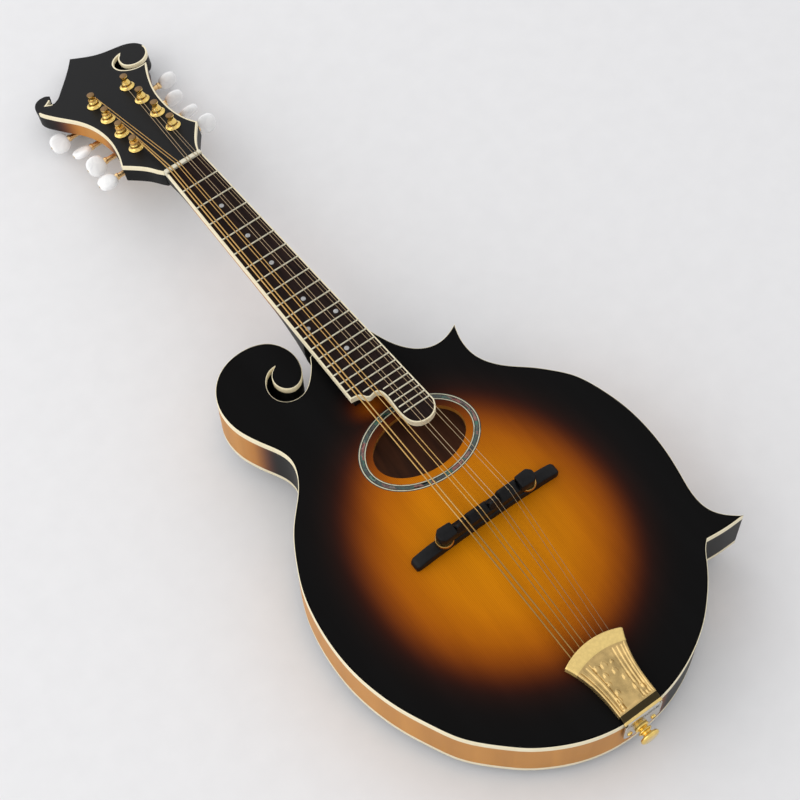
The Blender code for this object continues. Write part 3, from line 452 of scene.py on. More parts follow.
def dome(x, y, rise, centre, half_width, to_neck, to_tail):
    along = (y + centre) / (to_neck if y > -centre else to_tail)
    spread = (x / half_width) ** 2 + along**2
    return rise * max(0.0, 1 - spread) ** 1.5


def top_face(x, y):
    return dome(x, y, TOP_ARCH, 355, 112, 120, 138)


def back_face(x, y):
    return -BODY_DEPTH - dome(x, y, BACK_ARCH, BACK_CROWN, 114, 130, 138)


def placed(x, y, z):
    return Matrix.Translation(Vector((x, y, z)) * MM)


def body_to_world():
    crown = Vector((0, -REST_PLACE, back_face(0, -REST_PLACE) + REST_FLAT))
    turn = spun(REST_TILT, "X")
    return Matrix.Translation(-(turn @ crown) * MM) @ turn


BODY = body_to_world()
NECK = BODY @ placed(0, -0.2, NUT_HEIGHT) @ spun(-NECK_PITCH, "X")
HEAD = NECK @ placed(0, HEAD_START, -HEAD_DROP) @ spun(-HEAD_TILT, "X")


def through(frame_a, frame_b, point):
    """A point in millimetres in one frame, in millimetres in another."""
    return (frame_b.inverted() @ (frame_a @ (Vector(point) * MM))) / MM


# --- materials ---

def new_material(name, colour, roughness, metallic=0.0, coat=0.0, coat_roughness=0.1, specular=0.5):
    material = bpy.data.materials.new(name)
    material.use_nodes = True
    shader = material.node_tree.nodes["Principled BSDF"]
    shader.inputs["Base Color"].default_value = (*colour, 1)
    shader.inputs["Roughness"].default_value = roughness
    shader.inputs["Metallic"].default_value = metallic
    shader.inputs["Coat Weight"].default_value = coat
    shader.inputs["Coat Roughness"].default_value = coat_roughness
    shader.inputs["Specular IOR Level"].default_value = specular
    return material, material.node_tree, shader


def node(tree, kind, **values):
    made = tree.nodes.new(kind)
    for key, value in values.items():
        if key in made.inputs:
            made.inputs[key].default_value = value
        else:
            setattr(made, key, value)
    return made


def stretched(tree, scale):
    """The object's own coordinates, in metres, stretched by a scale on each axis."""
    where = tree.nodes.new("ShaderNodeTexCoord")
    mapping = tree.nodes.new("ShaderNodeMapping")
    mapping.inputs["Scale"].default_value = scale
    tree.links.new(where.outputs["Object"], mapping.inputs["Vector"])
    return mapping.outputs["Vector"]


def ramp(tree, value, stops):
    made = tree.nodes.new("ShaderNodeValToRGB")
    made.color_ramp.interpolation = "B_SPLINE" if len(stops) > 3 else "LINEAR"
    for _ in range(len(stops) - 2):
        made.color_ramp.elements.new(0.5)
    for element, (place, colour) in zip(made.color_ramp.elements, stops):
        element.position = place
        element.color = (*colour, 1) if len(colour) == 3 else colour
    tree.links.new(value, made.inputs["Fac"])
    return made.outputs["Color"]


def tinted(tree, colour, pattern, stops):
    """A colour multiplied by the tints that a ramp gives a pattern."""
    made = tree.nodes.new("ShaderNodeMix")
    made.data_type = "RGBA"
    made.blend_type = "MULTIPLY"
    made.inputs[0].default_value = 1.0
    tree.links.new(colour, made.inputs[6])
    tree.links.new(ramp(tree, pattern, stops), made.inputs[7])
    return made.outputs[2]


def noise(tree, scale, size, detail=3.0, distortion=0.0):
    made = node(tree, "ShaderNodeTexNoise", Scale=size, Detail=detail, Distortion=distortion)
    tree.links.new(stretched(tree, scale), made.inputs["Vector"])
    return made.outputs["Fac"]


def wave(tree, scale, size, distortion, detail=2.0, bands="X"):
    made = node(tree, "ShaderNodeTexWave", Scale=size, Distortion=distortion, Detail=detail)
    made.bands_direction = bands
    tree.links.new(stretched(tree, scale), made.inputs["Vector"])
    return made.outputs["Fac"]


def bumped(tree, shader, height, strength, distance):
    bump = node(tree, "ShaderNodeBump", Strength=strength, Distance=distance)
    tree.links.new(height, bump.inputs["Height"])
    tree.links.new(bump.outputs["Normal"], shader.inputs["Normal"])


def rough_from(tree, shader, value, low, high):
    made = node(tree, "ShaderNodeMapRange")
    made.inputs["To Min"].default_value = low
    made.inputs["To Max"].default_value = high
    tree.links.new(value, made.inputs["Value"])
    tree.links.new(made.outputs["Result"], shader.inputs["Roughness"])


def attribute(tree, name):
    return node(tree, "ShaderNodeAttribute", attribute_name=name).outputs["Fac"]


EVEN = (1, 1, 1)
BLACK = (0.0045, 0.0045, 0.0048)
BURST = (
    (0.0, (0.68, 0.255, 0.0016)), (0.36, (0.58, 0.190, 0.0016)), (0.52, (0.42, 0.112, 0.0022)),
    (0.62, (0.22, 0.048, 0.0035)), (0.70, (0.050, 0.010, 0.004)), (0.77, (0.012, 0.006, 0.005)),
    (0.87, BLACK), (1.0, BLACK),
)


def sunburst(name, grain):
    """Stained wood under satin lacquer, from amber in the middle to black at the edge."""
    material, tree, shader = new_material(name, BLACK, 0.45, specular=0.045)
    colour = ramp(tree, attribute(tree, "burst"), BURST)
    if grain == "spruce":
        lines = wave(tree, (1, 0.012, 1), 330, 3.5, 3)
        broad = noise(tree, (60, 3, 60), 1.0)
        colour = tinted(tree, colour, lines, ((0.0, (0.76, 0.69, 0.60)), (0.6, (1, 1, 1))))
        colour = tinted(tree, colour, broad, ((0.3, (0.88, 0.85, 0.82)), (0.7, (1.1, 1.1, 1.1))))
    else:
        lines = wave(tree, (0.35, 1, 0.35), 42, 7, 2, "Y")
        colour = tinted(tree, colour, lines, ((0.0, (0.62, 0.56, 0.5)), (1.0, (1.15, 1.12, 1.1))))
    tree.links.new(colour, shader.inputs["Base Color"])
    fine = noise(tree, (1, 0.05, 1), 900, 2)
    rough_from(tree, shader, fine, 0.36, 0.5)
    bumped(tree, shader, lines, 0.05, 0.00006)
    return material


def grained(name, dark, light, scale, size, roughness, bump=0.1, specular=0.5):
    """A plain wood or shell whose colour runs between two tones along stretched noise."""
    material, tree, shader = new_material(name, light, roughness, specular=specular)
    spots = noise(tree, scale, size, 4, 0.3)
    tree.links.new(ramp(tree, spots, ((0.25, dark), (0.75, light))), shader.inputs["Base Color"])
    rough_from(tree, shader, spots, roughness * 0.85, roughness * 1.2)
    bumped(tree, shader, spots, bump, 0.0001)
    return material


def metal(name, colour, roughness, scratch=0.0, metallic=1.0, dark=0.86, grain=500):
    material, tree, shader = new_material(name, colour, roughness, metallic=metallic)
    marks = noise(tree, EVEN, grain, 3)
    rough_from(tree, shader, marks, roughness * 0.75, roughness * 1.3 + 0.02)
    tint = tuple(c * dark for c in colour)
    tree.links.new(ramp(tree, marks, ((0.3, tint), (0.7, colour))), shader.inputs["Base Color"])
    if scratch:
        bumped(tree, shader, marks, scratch, 0.00004)
    return material


def shaded_maple(name):
    """Stained side wood that runs from amber to black where the attribute 'shade' is 1."""
    material, tree, shader = new_material(name, BLACK, 0.45, specular=0.16)
    shade = attribute(tree, "shade")
    colour = ramp(tree, shade, (
        (0.0, (0.55, 0.255, 0.058)), (0.3, (0.50, 0.205, 0.040)), (0.5, (0.29, 0.105, 0.022)),
        (0.68, (0.075, 0.022, 0.014)), (0.85, BLACK), (1.0, BLACK)))
    flame = noise(tree, (40, 40, 4), 1.6, 2, 0.4)
    colour = tinted(tree, colour, flame, ((0.3, (0.90, 0.87, 0.84)), (0.7, (1.08, 1.07, 1.05))))
    tree.links.new(colour, shader.inputs["Base Color"])
    bumped(tree, shader, flame, 0.05, 0.00005)
    return material


def pearl(name, base, swirl, size):
    material, tree, shader = new_material(name, base, 0.22, coat=0.5, coat_roughness=0.08)
    cloud = noise(tree, (1, 1, 1), size, 4, 1.8)
    tree.links.new(ramp(tree, cloud, ((0.35, swirl), (0.62, base))), shader.inputs["Base Color"])
    rough_from(tree, shader, cloud, 0.16, 0.3)
    return material


def abalone(name):
    material, tree, shader = new_material(name, (0.1, 0.15, 0.12), 0.2, coat=0.6, coat_roughness=0.06)
    cells = node(tree, "ShaderNodeTexVoronoi", Scale=210.0, Randomness=1.0)
    tree.links.new(stretched(tree, (1, 1, 1)), cells.inputs["Vector"])
    split = tree.nodes.new("ShaderNodeSeparateColor")
    tree.links.new(cells.outputs["Color"], split.inputs["Color"])
    colour = ramp(tree, split.outputs["Red"], (
        (0.0, (0.012, 0.014, 0.014)), (0.3, (0.035, 0.05, 0.045)), (0.5, (0.02, 0.16, 0.10)),
        (0.62, (0.03, 0.05, 0.05)), (0.78, (0.30, 0.05, 0.035)), (1.0, (0.10, 0.14, 0.12))))
    streak = noise(tree, (1, 1, 1), 420, 3, 2.0)
    colour = tinted(tree, colour, streak, ((0.35, (0.55, 0.55, 0.6)), (0.7, (1.5, 1.5, 1.4))))
    tree.links.new(colour, shader.inputs["Base Color"])
    return material


def wound(name, colour):
    """Wire wound round a core: the turns are a fine wave along the string, darker between the turns as
    painted shade in the grooves.
    """
    material, tree, shader = new_material(name, colour, 0.3, metallic=1.0)
    turns = wave(tree, (0.02, 1, 0.02), 900, 0, 0, "Y")
    tree.links.new(ramp(tree, turns, ((0.0, tuple(c * 0.55 for c in colour)), (1.0, colour))),
                   shader.inputs["Base Color"])
    bumped(tree, shader, turns, 0.5, 0.0001)
    return material


def floor_material():
    material, tree, shader = new_material("floor_paper", (0.80, 0.80, 0.81), 0.85, specular=0.2)
    spots = noise(tree, (1, 1, 1), 60, 5)
    tree.links.new(ramp(tree, spots, ((0.3, (0.79, 0.79, 0.80)), (0.7, (0.81, 0.81, 0.82)))),
                   shader.inputs["Base Color"])
    return material


LOOKS = {
    "spruce": sunburst("spruce_burst", "spruce"),
    "maple_back": sunburst("maple_burst", "maple"),
    "maple": shaded_maple("maple_sides"),
    "inner": grained("inner_wood", (0.085, 0.026, 0.009), (0.30, 0.105, 0.042), (120, 6, 120), 1.0, 0.7),
    "raw": grained("raw_spruce_edge", (0.33, 0.12, 0.012), (0.42, 0.16, 0.02), (1, 1, 300), 1.0, 0.5),
    "block": grained("block_wood", (0.22, 0.11, 0.045), (0.34, 0.19, 0.08), (20, 200, 200), 1.0, 0.75),
    "black": grained("black_lacquer", (0.0050, 0.0050, 0.0055), (0.0072, 0.0072, 0.0076), EVEN, 240,
                     0.42, 0.02, specular=0.11),
    "cream": grained("cream_binding", (0.84, 0.74, 0.50), (0.90, 0.82, 0.60), EVEN, 160, 0.38, 0.02,
                     specular=0.3),
    "board": grained("rosewood", (0.0060, 0.0036, 0.0032), (0.024, 0.0125, 0.0105), (700, 26, 700), 1.0,
                     0.5, 0.3, specular=0.06),
    "ebony": grained("ebony", (0.0030, 0.0030, 0.0034), (0.0075, 0.0075, 0.0082), (300, 300, 300), 1.0,
                     0.45, 0.12, specular=0.16),
    "bone": grained("bone", (0.62, 0.57, 0.42), (0.74, 0.70, 0.56), EVEN, 220, 0.4, 0.03),
    "gold": metal("gold_polished", (0.98, 0.70, 0.22), 0.12),
    "gold_satin": metal("gold_satin", (0.90, 0.66, 0.24), 0.36, metallic=0.6),
    # The cover's polished rear step: gold with a near-black colour, which is a painted dark reflection.
    "gold_painted_reflection": metal("gold_painted_reflection", (0.06, 0.045, 0.022), 0.08),
    # The pressed panel's gold: its random tone patches are made deep (dark 0.60) as painted shade standing
    # in for the shade in its grooves.
    "gold_panel": metal("gold_panel", (0.72, 0.50, 0.20), 0.26, metallic=0.8, dark=0.60, grain=140),
    "copper_gold": metal("gold_shaft", (0.96, 0.66, 0.33), 0.26),
    "copper": metal("gold_cap", (0.24, 0.145, 0.065), 0.36),
    "brass": metal("brass", (0.70, 0.43, 0.12), 0.25),
    "steel": metal("nickel_plate", (0.62, 0.60, 0.55), 0.22, 0.1),
    "fret": metal("fret_wire", (0.82, 0.77, 0.60), 0.36),
    # Plain steel string wire, tinted warm brown as a painted reflection of the amber top it runs over.
    "wire": metal("string_wire", (0.54, 0.41, 0.25), 0.34),
    "bronze": wound("string_bronze", (0.74, 0.46, 0.16)),
    # Darker copies of the string metals for the runs behind the saddle: painted shade on the same wire as in
    # front.
    "wire_rear": metal("string_wire_rear", (0.30, 0.21, 0.115), 0.34),
    "bronze_rear": wound("string_bronze_rear", (0.46, 0.275, 0.09)),
    "pearl": pearl("pearl_button", (0.96, 0.96, 0.955), (0.86, 0.86, 0.865), 110),
    "dot": pearl("pearl_dot", (0.46, 0.46, 0.46), (0.28, 0.29, 0.30), 300),
    "abalone": abalone("abalone"),
    "white_line": grained("purfling_white", (0.50, 0.48, 0.34), (0.60, 0.58, 0.42), EVEN, 300, 0.4, 0.02),
    "black_line": grained("purfling_black", (0.006, 0.006, 0.005), (0.012, 0.011, 0.010), EVEN, 300,
                          0.45, 0.02),
}


# --- pieces ---

def piece(name, shape, placement, looks, body="frame", replaces=(), smooth=40, values=None,
          bevel=0):
    """One visible piece from a shape in millimetres, riding on a CAD body."""
    mesh = bpy.data.meshes.new(name)
    mesh.from_pydata([placement @ (Vector(p) * MM) for p in shape[0]], [], shape[1])
    for look in [looks] if isinstance(looks, str) else looks:
        mesh.materials.append(LOOKS[look])
    mesh.polygons.foreach_set("material_index", shape[2])
    if values:
        data = mesh.attributes.new(values[0], "FLOAT", "POINT")
        data.data.foreach_set("value", np.asarray(values[1], np.float32))
    tidy = bmesh.new()
    tidy.from_mesh(mesh)
    bmesh.ops.remove_doubles(tidy, verts=tidy.verts, dist=1e-7)
    bmesh.ops.recalc_face_normals(tidy, faces=tidy.faces)
    tidy.to_mesh(mesh)
    tidy.free()
    mesh.shade_smooth()
    mesh.set_sharp_from_angle(angle=math.radians(smooth))
    made = bpy.data.objects.new(name, mesh)
    bpy.context.scene.collection.objects.link(made)
    if bevel:
        soften = made.modifiers.new("bevel", "BEVEL")
        soften.width = bevel * MM
        soften.segments = 2
        soften.limit_method = "ANGLE"
        soften.angle_limit = math.radians(40)
        soften.harden_normals = True
    if body:
        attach(made, body)
    if replaces:
        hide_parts(*([replaces] if isinstance(replaces, str) else replaces))
    return made


# Where the side turns black: place across, distance from the nut, and reach. All but the last two are its
# black stain; the last two make the side darker to the right of the tail.
DARK_PLACES = (
    (-77, 246, 30), (-84, 262, 16), (72, 232, 30), (75, 256, 24), (66, 224, 26), (48, 222, 24),
    (30, 205, 24), (0, 176, 40), (136, 447, 22), (118, 447, 22), (120, 428, 16), (-28, 180, 14),
    (-45, 176, 20), (-56, 190, 22), (-36, 203, 20), (-40, 153, 16), (-36, 196, 16), (-20, 184, 16),
    (40, 506, 22), (70, 490, 20),
)


def burst_at(points, centre, half, to_neck, to_tail):
    """How far out each point is, near 0.7 where the stain turns black, and black by the fingerboard."""
    p = np.asarray(points, float)
    reach = np.where(p[:, 1] > -centre, to_neck, to_tail)
    far = np.sqrt(((p[:, 0] + 3.7) / half) ** 2 + ((p[:, 1] + centre) / reach) ** 2)
    near_board = 0.56 + 0.35 * np.hypot((p[:, 0] + 8) / 34, (p[:, 1] + 238) / 26)
    return np.clip(np.minimum(far * 0.70, near_board), 0, 1)


def shade_at(points):
    """1 where the side is stained black, at the waist, the points, the heel and in the scroll; also darker
    to the right of the tail.
    """
    p = np.asarray(points, float)[:, :2]
    out = np.zeros(len(p))
    for x, v, reach in DARK_PLACES:
        near = np.hypot(p[:, 0] - x, p[:, 1] + v) / reach
        out = np.maximum(out, np.clip(1.55 - near, 0, 1))
    return out


def own_look(name, look):
    """Gives a CAD node that no piece replaces a material of its own."""
    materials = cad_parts[name].data.materials
    materials.clear()
    materials.append(LOOKS[look])


def build_body():
    edge = outline(BODY_RUNS, 2.2, flip=True)
    plate = shifted(edge, 0.45)
    build_top(plate)
    build_back(plate)
    build_sides(edge)
    for name in ("head_block", "tail_block", "cross_brace"):
        own_look(name, "block")


def build_top(plate):
    centre = (0, -HOLE_CENTRE)

    def under(x, y):
        return top_face(x, y) - PLATE_EDGE

    def proud(x, y):
        return top_face(x, y) + 0.02

    outer = slab([plate, ellipse(*ROSETTE_OUTER, centre, 96)], top_face, under, 4.0, (0, 1, 0))
    lip = [ellipse(*ROSETTE_INNER, centre, 88), ellipse(*HOLE_RADII, centre, 72)]
    shape = joined(outer, slab(lip, top_face, under, 3.0, (0, 1, 2)))
    piece("top", shape, BODY, ("spruce", "inner", "raw"), replaces="top_plate",
          values=("burst", burst_at(shape[0], 368, 88, 113, 97)))

    narrower = ROSETTE_OUTER[0] - ROSETTE_OUTER[1]
    steps = ((43.7, 0), (43.2, 1), (42.5, 0), (41.9, 2), (40.0, 0), (39.4, 1), (38.75, 0), (38.5, 0))
    rings = []
    for (a, number), (b, _) in zip(steps, steps[1:]):
        loops = [ellipse(r, r - narrower, centre, 96) for r in (a, b)]
        rings.append(marked(slab(loops, proud, under), number))
    piece("rosette_rings", joined(*rings), BODY, ("black_line", "white_line", "abalone"),
          replaces="rosette")


def build_back(plate):
    """The arched back, with the small flat it rests on cut level with the floor."""
    def over(x, y):
        return back_face(x, y) + PLATE_EDGE

    points, faces, marks = slab([plate], over, back_face, 5.0, (1, 0, 0))
    floor = BODY.inverted() @ Vector((0, 0, 0)) / MM
    up = BODY.inverted().to_3x3() @ Vector((0, 0, 1))
    cut = [(x, y, max(z, floor.z - (up.x * x + up.y * (y - floor.y)) / up.z)) for x, y, z in points]
    piece("back", (cut, faces, marks), BODY, ("maple_back", "inner"), replaces="back_plate",
          values=("burst", burst_at(cut, 362, 92, 120, 105)))


def build_sides(edge):
    """The two bindings, the side between them and the two linings glued inside its corners."""
    low, wide, top = -BODY_DEPTH, BINDING_WIDTH, -BINDING_HEIGHT
    strip = ((0.0, top), (0.0, -0.55), (0.12, -0.2), (0.45, 0.0), (wide, 0.0), (wide, top))
    piece("binding_top", band(edge, strip, (0, 0, 0, 1, 1, 0)), BODY, ("cream", "black"),
          replaces="top_binding")
    rise = low + 4.6
    strip = ((0.0, low + 0.6), (0.0, rise), (wide, rise), (wide, low), (0.55, low), (0.15, low + 0.2))
    piece("binding_back", band(edge, strip), BODY, "cream", replaces="back_binding")
    wall = ((0.06, rise), (0.06, top), (RIB_THICKNESS, top), (RIB_THICKNESS, rise))
    side = band(edge, wall, (0, 1, 1, 1))
    piece("sides", side, BODY, ("maple", "inner"), replaces="rim",
          values=("shade", shade_at(side[0])))
    for name, base, way in (("top", -PLATE_EDGE - 0.2, -1), ("back", low + PLATE_EDGE + 0.2, 1)):
        strip = ((2.3, base), (7.0, base), (7.0, base + way * 2.5), (3.2, base + way * 8),
                 (2.3, base + way * 8))
        piece("lining_" + name, band(edge, strip), BODY, "block")


def board_half(distance):
    return BOARD_NUT_HALF + BOARD_TAPER * distance


def board_loop():
    end = smooth_run(BOARD_END, 1.2)
    front = -(NUT_FRONT - 0.05)
    left = smooth_run(((-board_half(front), front), (-board_half(117), 117)), 6)
    right = smooth_run(((board_half(117), 117), (board_half(front), front)), 6)
    left_low = smooth_run(((-board_half(117), 117), end[0]), 6)[1:-1]
    right_low = smooth_run((end[-1], (board_half(117), 117)), 6)[1:-1]
    return anticlockwise([(x, -y) for x, y in left + left_low + end + right_low + right])


def fret_place(number):
    return SCALE_LENGTH * (1 - 2 ** (-number / 12))


def build_neck():
    edge = board_loop()
    inner = shifted(edge, BOARD_BINDING)
    nut_end = max(y for x, y in edge)
    inner = [(x, nut_end if y > nut_end - BOARD_BINDING * 1.2 else y) for x, y in inner]
    piece("board", prism([inner], -BOARD_THICKNESS, 0), NECK, "board", replaces="fingerboard")
    wide = BOARD_BINDING - 0.02
    strip = ((0.0, -BOARD_THICKNESS), (0.0, -0.2), (0.2, 0.0), (wide, 0.0), (wide, -BOARD_THICKNESS))
    piece("board_edge", band(edge, strip, closed=False), NECK, "cream", replaces="fingerboard_binding")
    for number in range(1, 25):
        place = fret_place(number)
        half = board_half(place) - 0.35
        start = -half if number < 19 else (-11.6 if number == 19 else 0.1)
        crown = [(-0.58 * math.cos(math.pi * k / 6), 0.9 * math.sin(math.pi * k / 6)) for k in range(7)]
        rings = []
        for x, size in ((start, 0.55), (start + 0.5, 1.0), (half - 0.5, 1.0), (half, 0.55)):
            ring = [(x, -place + a, b * size - 0.02) for a, b in crown]
            rings.append(ring + [(x, -place, -0.9)])
        piece("fret_%02d" % number, loft(rings), NECK, "fret")
    dots = [(0, 3), (0, 5), (0, 7), (0, 10), (-11.5, 12), (11.5, 12), (0, 15)]
    shapes = []
    for x, number in dots:
        place = -(fret_place(number) + fret_place(number - 1)) / 2
        disc = turned(((1.75, -0.6), (1.75, 0.0), (1.65, 0.06)), 24)
        shapes.append(moved(disc, at(x, place, 0)))
    piece("board_dots", joined(*shapes), NECK, "dot")
    build_nut()
    build_shaft()


def build_nut():
    """The nut, rounded over and cut by a groove for each string."""
    places = sorted(x + way * PAIR_AT_NUT for _, x, _, _, _ in COURSES for way in (-1, 1))
    xs = {-15.1, -14.6, 14.6, 15.1, *np.arange(-14, 14.1, 0.7)}
    xs |= {p + d for p in places for d in (-0.7, -0.35, 0.35, 0.7)}
    rings = []
    for x in sorted(xs):
        gap = min(abs(x - p) for p in places)
        high = 1.95 - (0.75 if gap < 0.4 else 0.0) - (0.4 if abs(x) > 14.8 else 0.0)
        rings.append(across(x, (
            (NUT_FRONT, -BOARD_THICKNESS), (NUT_FRONT, high - 0.35), (NUT_FRONT + 0.4, high),
            (NUT_BACK - 1.2, high - 0.25), (NUT_BACK - 0.25, high - 0.9), (NUT_BACK, high - 1.5),
            (NUT_BACK, -BOARD_THICKNESS))))
    piece("string_nut", loft(rings), NECK, "bone", replaces="nut", smooth=30)


# The shaft's sections: distance from the nut, half width, depth under the board, and how square.
SHAFT = (
    (-5, 15.6, 9.5, 0.22), (-3, 15.3, 10.4, 0.26), (2, 15.0, 11.4, 0.38), (10, 15.0, 12.6, 0.60),
    (22, 15.3, 13.8, 0.84), (35, 15.7, 14.5, 0.92), (60, 16.4, 15, 0.95), (90, 17.2, 15.6, 0.95),
    (115, 17.9, 16.5, 0.94), (130, 18.3, 18.0, 0.92), (142, 18.6, 21.0, 0.9), (152, 18.9, 26.0, 0.86),
    (160, 19.0, 33, 0.84), (166, 19.1, 40, 0.82), (170.5, 19.2, 46, 0.8), (172.5, 19.3, 49.5, 0.8),
)


def shaft_ring(distance, half, depth, square):
    """Half an oval under the fingerboard, the squarer the smaller its last number."""
    half = min(half, board_half(max(distance, 0)) - 0.05)
    ring = []
    for k in range(25):
        t = math.pi * k / 24
        x = half * math.copysign(abs(math.cos(t)) ** square, math.cos(t))
        ring.append((x, -distance, -BOARD_THICKNESS - depth * abs(math.sin(t)) ** square))
    return ring


def build_shaft():
    """The neck's shaft and heel, the headstock's core, the board's riser and the heel's cap."""
    limit = BODY_START - 0.3
    rings = []
    for station in smooth_run(SHAFT, 2.5):
        ring = []
        for point in shaft_ring(*station):
            p = through(NECK, BODY, point)
            p.y = max(p.y, -limit)
            p.z = max(p.z, -BODY_DEPTH + 2.0)
            ring.append(tuple(through(BODY, NECK, p)))
        rings.append(ring)
    last = []
    for point in rings[-1]:
        p = through(NECK, BODY, point)
        p.y = -limit
        last.append(tuple(through(BODY, NECK, p)))
    shaft = loft(rings + [last])
    core = prism([shifted(outline(HEAD_RUNS, 1.6), 0.25)], -HEAD_THICKNESS, -OVERLAY + 0.1)

    def neck_shade(x, y, z):
        ends = max(1 - abs(-y - 6) / 34, 1 - abs(-y - 178) / 60, 0)
        return min(1, ends * 1.6)

    def head_shade(x, y, z):
        amber = math.exp(-((y - 88) / 26) ** 2)
        return 1 - amber if abs(x) > 20 or z < -13 else 1.0

    piece("neck_shaft", shaft, NECK, "maple", replaces="neck",
          values=("shade", [neck_shade(*p) for p in shaft[0]]), smooth=35)
    piece("headstock_core", core, HEAD, "maple",
          values=("shade", [head_shade(*p) for p in core[0]]), smooth=35, bevel=0.6)
    build_riser()
    foot = [(10.5 * math.cos(t), 14 * math.sin(t) - BODY_START + 0.6) for t in
            (math.pi * k / 24 for k in range(25))]
    piece("heel_plate", prism([anticlockwise(foot)], -BODY_DEPTH + 0.1, -BODY_DEPTH + 2.1), BODY, "black",
          replaces="heel_cap", bevel=0.3)
    own_look("truss_rod", "steel")


def build_riser():
    """The block that fills the wedge between the fingerboard's end and the top."""
    half = 17.6
    rise = []
    for y in (-170.0, -232.5):
        ring = [(-half, y, 0.0), (half, y, 0.0)]
        for x in (half, -half):
            p = through(BODY, NECK, (x, y, 0))
            ring.append((x, y, through(NECK, BODY, (x, p.y, -BOARD_THICKNESS)).z))
        rise.append(ring)
    piece("board_riser", loft(rise), BODY, "black", bevel=0.4)


def black_edge(x, y):
    """Whether the headstock's binding is black here: along its top and round the bass curl."""
    scroll = x > 19 and (y < 144 or (y < 151 and x < 44))
    notch = -42.5 < x < -36.5 and y < 148.5
    curl = x < -42.5 or (x < -33.5 and y > 148.5)
    apex = y > 136.5 and not (scroll or notch)
    return apex or (curl and y > 137)


def build_headstock():
    edge = outline(HEAD_RUNS, 1.2)
    face = prism([shifted(edge, HEAD_BINDING - 0.05)], -OVERLAY, -0.02)
    piece("head_face", face, HEAD, "black", replaces="headstock_overlay")
    strip = ((0.0, -OVERLAY), (0.0, -0.15), (0.15, 0.0), (HEAD_BINDING, 0.0), (HEAD_BINDING, -OVERLAY))
    points, faces, _ = band(edge, strip)
    marks = [int(black_edge(x, y)) for x, y in edge for _ in strip]
    piece("head_edge", (points, faces, marks), HEAD, ("cream", "black"), replaces="headstock_binding")


def build_bridge():
    y = -BRIDGE_CENTRE
    soft = 1.1
    rings = []
    for k in range(77):
        x = -BRIDGE_HALF + 2 * BRIDGE_HALF * k / 76
        end = max(0.0, (abs(x) - 54.0) / 3.0)
        half = 4.3 - 1.0 * (1 - math.sqrt(max(0.0, 1 - end * end)))
        low = top_face(x, y) + 0.05
        fall = max(0.0, abs(x) - 40) / 17
        high = 17.0 - 4.2 * fall**1.5 - 0.9 * end**3
        rings.append(across(x, (
            (y + half, low), (y + half, high - soft), (y + half - 0.35, high - 0.35),
            (y + half - soft, high), (y - half + soft, high), (y - half + 0.35, high - 0.35),
            (y - half, high - soft), (y - half, low))))
    piece("bridge_foot", loft(rings), BODY, "ebony", replaces="bridge_base", smooth=50)
    build_saddle()
    for side, sign in SIDES:
        x = sign * POST_SPREAD
        threads = [(2.0 if k % 2 else 1.72, 16.0 + 0.26 * k) for k in range(40)]
        post = turned([(2.0, 13.2), (2.0, 15.9)] + threads + [(1.6, 26.8)], 20)
        piece("bridge_screw_" + side, moved(post, at(x, y, 0)), BODY, "brass",
              replaces="bridge_post_" + side, smooth=60)
        high = SADDLE_FOOT - 0.25
        low = high - WHEEL_THICKNESS
        wheel = ((2.3, low), (5.9, low), (6.3, low + 0.4), (6.3, high - 0.4), (5.9, high), (2.3, high))
        points, faces, marks = turned(wheel, 96, bore=True)
        knurled = []
        for i, (px, py, pz) in enumerate(points):
            ring, spot = divmod(i, len(wheel))
            if spot in (2, 3) and ring % 2:
                px, py = px * 0.955, py * 0.955
            knurled.append((px, py, pz))
        piece("adjuster_" + side, moved((knurled, faces, marks), at(x, y, 0)), BODY, "brass",
              body="wheel_" + side, replaces="thumbwheel_" + side, smooth=20)


def build_saddle():
    """The saddle: a deep bar, a lug at each end, and a block for each course, stepped back in turn."""
    y = -BRIDGE_CENTRE
    bar = ((y + 3.8, SADDLE_KEEL), (y + 3.8, 25.2), (y + 3.1, 26.0), (y - 3.1, 25.4), (y - 3.8, 24.6),
           (y - 3.8, SADDLE_KEEL))
    shapes = [loft([across(-27 + 54 * k / 36, bar) for k in range(37)])]
    for sign in (-1, 1):
        lug = [(-6.4, -4.0), (-5.6, -4.8), (2.6, -5.2), (3.6, -4.9), (6.0, -2.6), (6.3, -1.6)]
        lug += [(a, -b) for a, b in lug[::-1]]
        rings = []
        for z, grow in ((SADDLE_FOOT + 0.02, 0.93), (SADDLE_FOOT + 1.2, 1.0), (28.6, 1.0), (29.3, 0.95),
                        (29.65, 0.84)):
            rings.append([(sign * (LUG_CENTRE + a * grow), y + b * grow, z) for a, b in lug])
        shapes.append(loft(rings))
    for x0, x1, step in SADDLE_STEPS:
        crown = SADDLE_CREST - 0.09 * step
        front = y - 1.6 + step
        rings = []
        for x, drop in ((x0, 2.6), (x0 + 0.9, 0.9), (x0 + 2.0, 0.1), (x0 + 2.6, 0.0), (x1 - 2.6, 0.0),
                        (x1 - 2.0, 0.1), (x1 - 0.9, 0.9), (x1, 2.6)):
            high = crown - drop
            rings.append(across(x, (
                (y + 3.7, 25.0), (min(y + 3.6, front + 2.4), min(27.6 + step * 0.6, high)),
                (front + 1.3, high), (front + 0.1, high), (front - 0.5, high - 0.5), (y - 3.7, 25.0))))
        shapes.append(loft(rings))
    piece("saddle", joined(*shapes), BODY, "ebony", body="saddle", replaces="bridge_saddle",
          smooth=30, bevel=0.25)


# --- the tailpiece ---

def cover_half(along):
    return 14.7 + 8.1 * max(0.0, 1 - along / 0.8) ** 2.2


def cover_top(along):
    slope = 10.0 - 5.2 * along
    return slope - 1.8 * max(0.0, (along - 0.86) / 0.14) ** 2


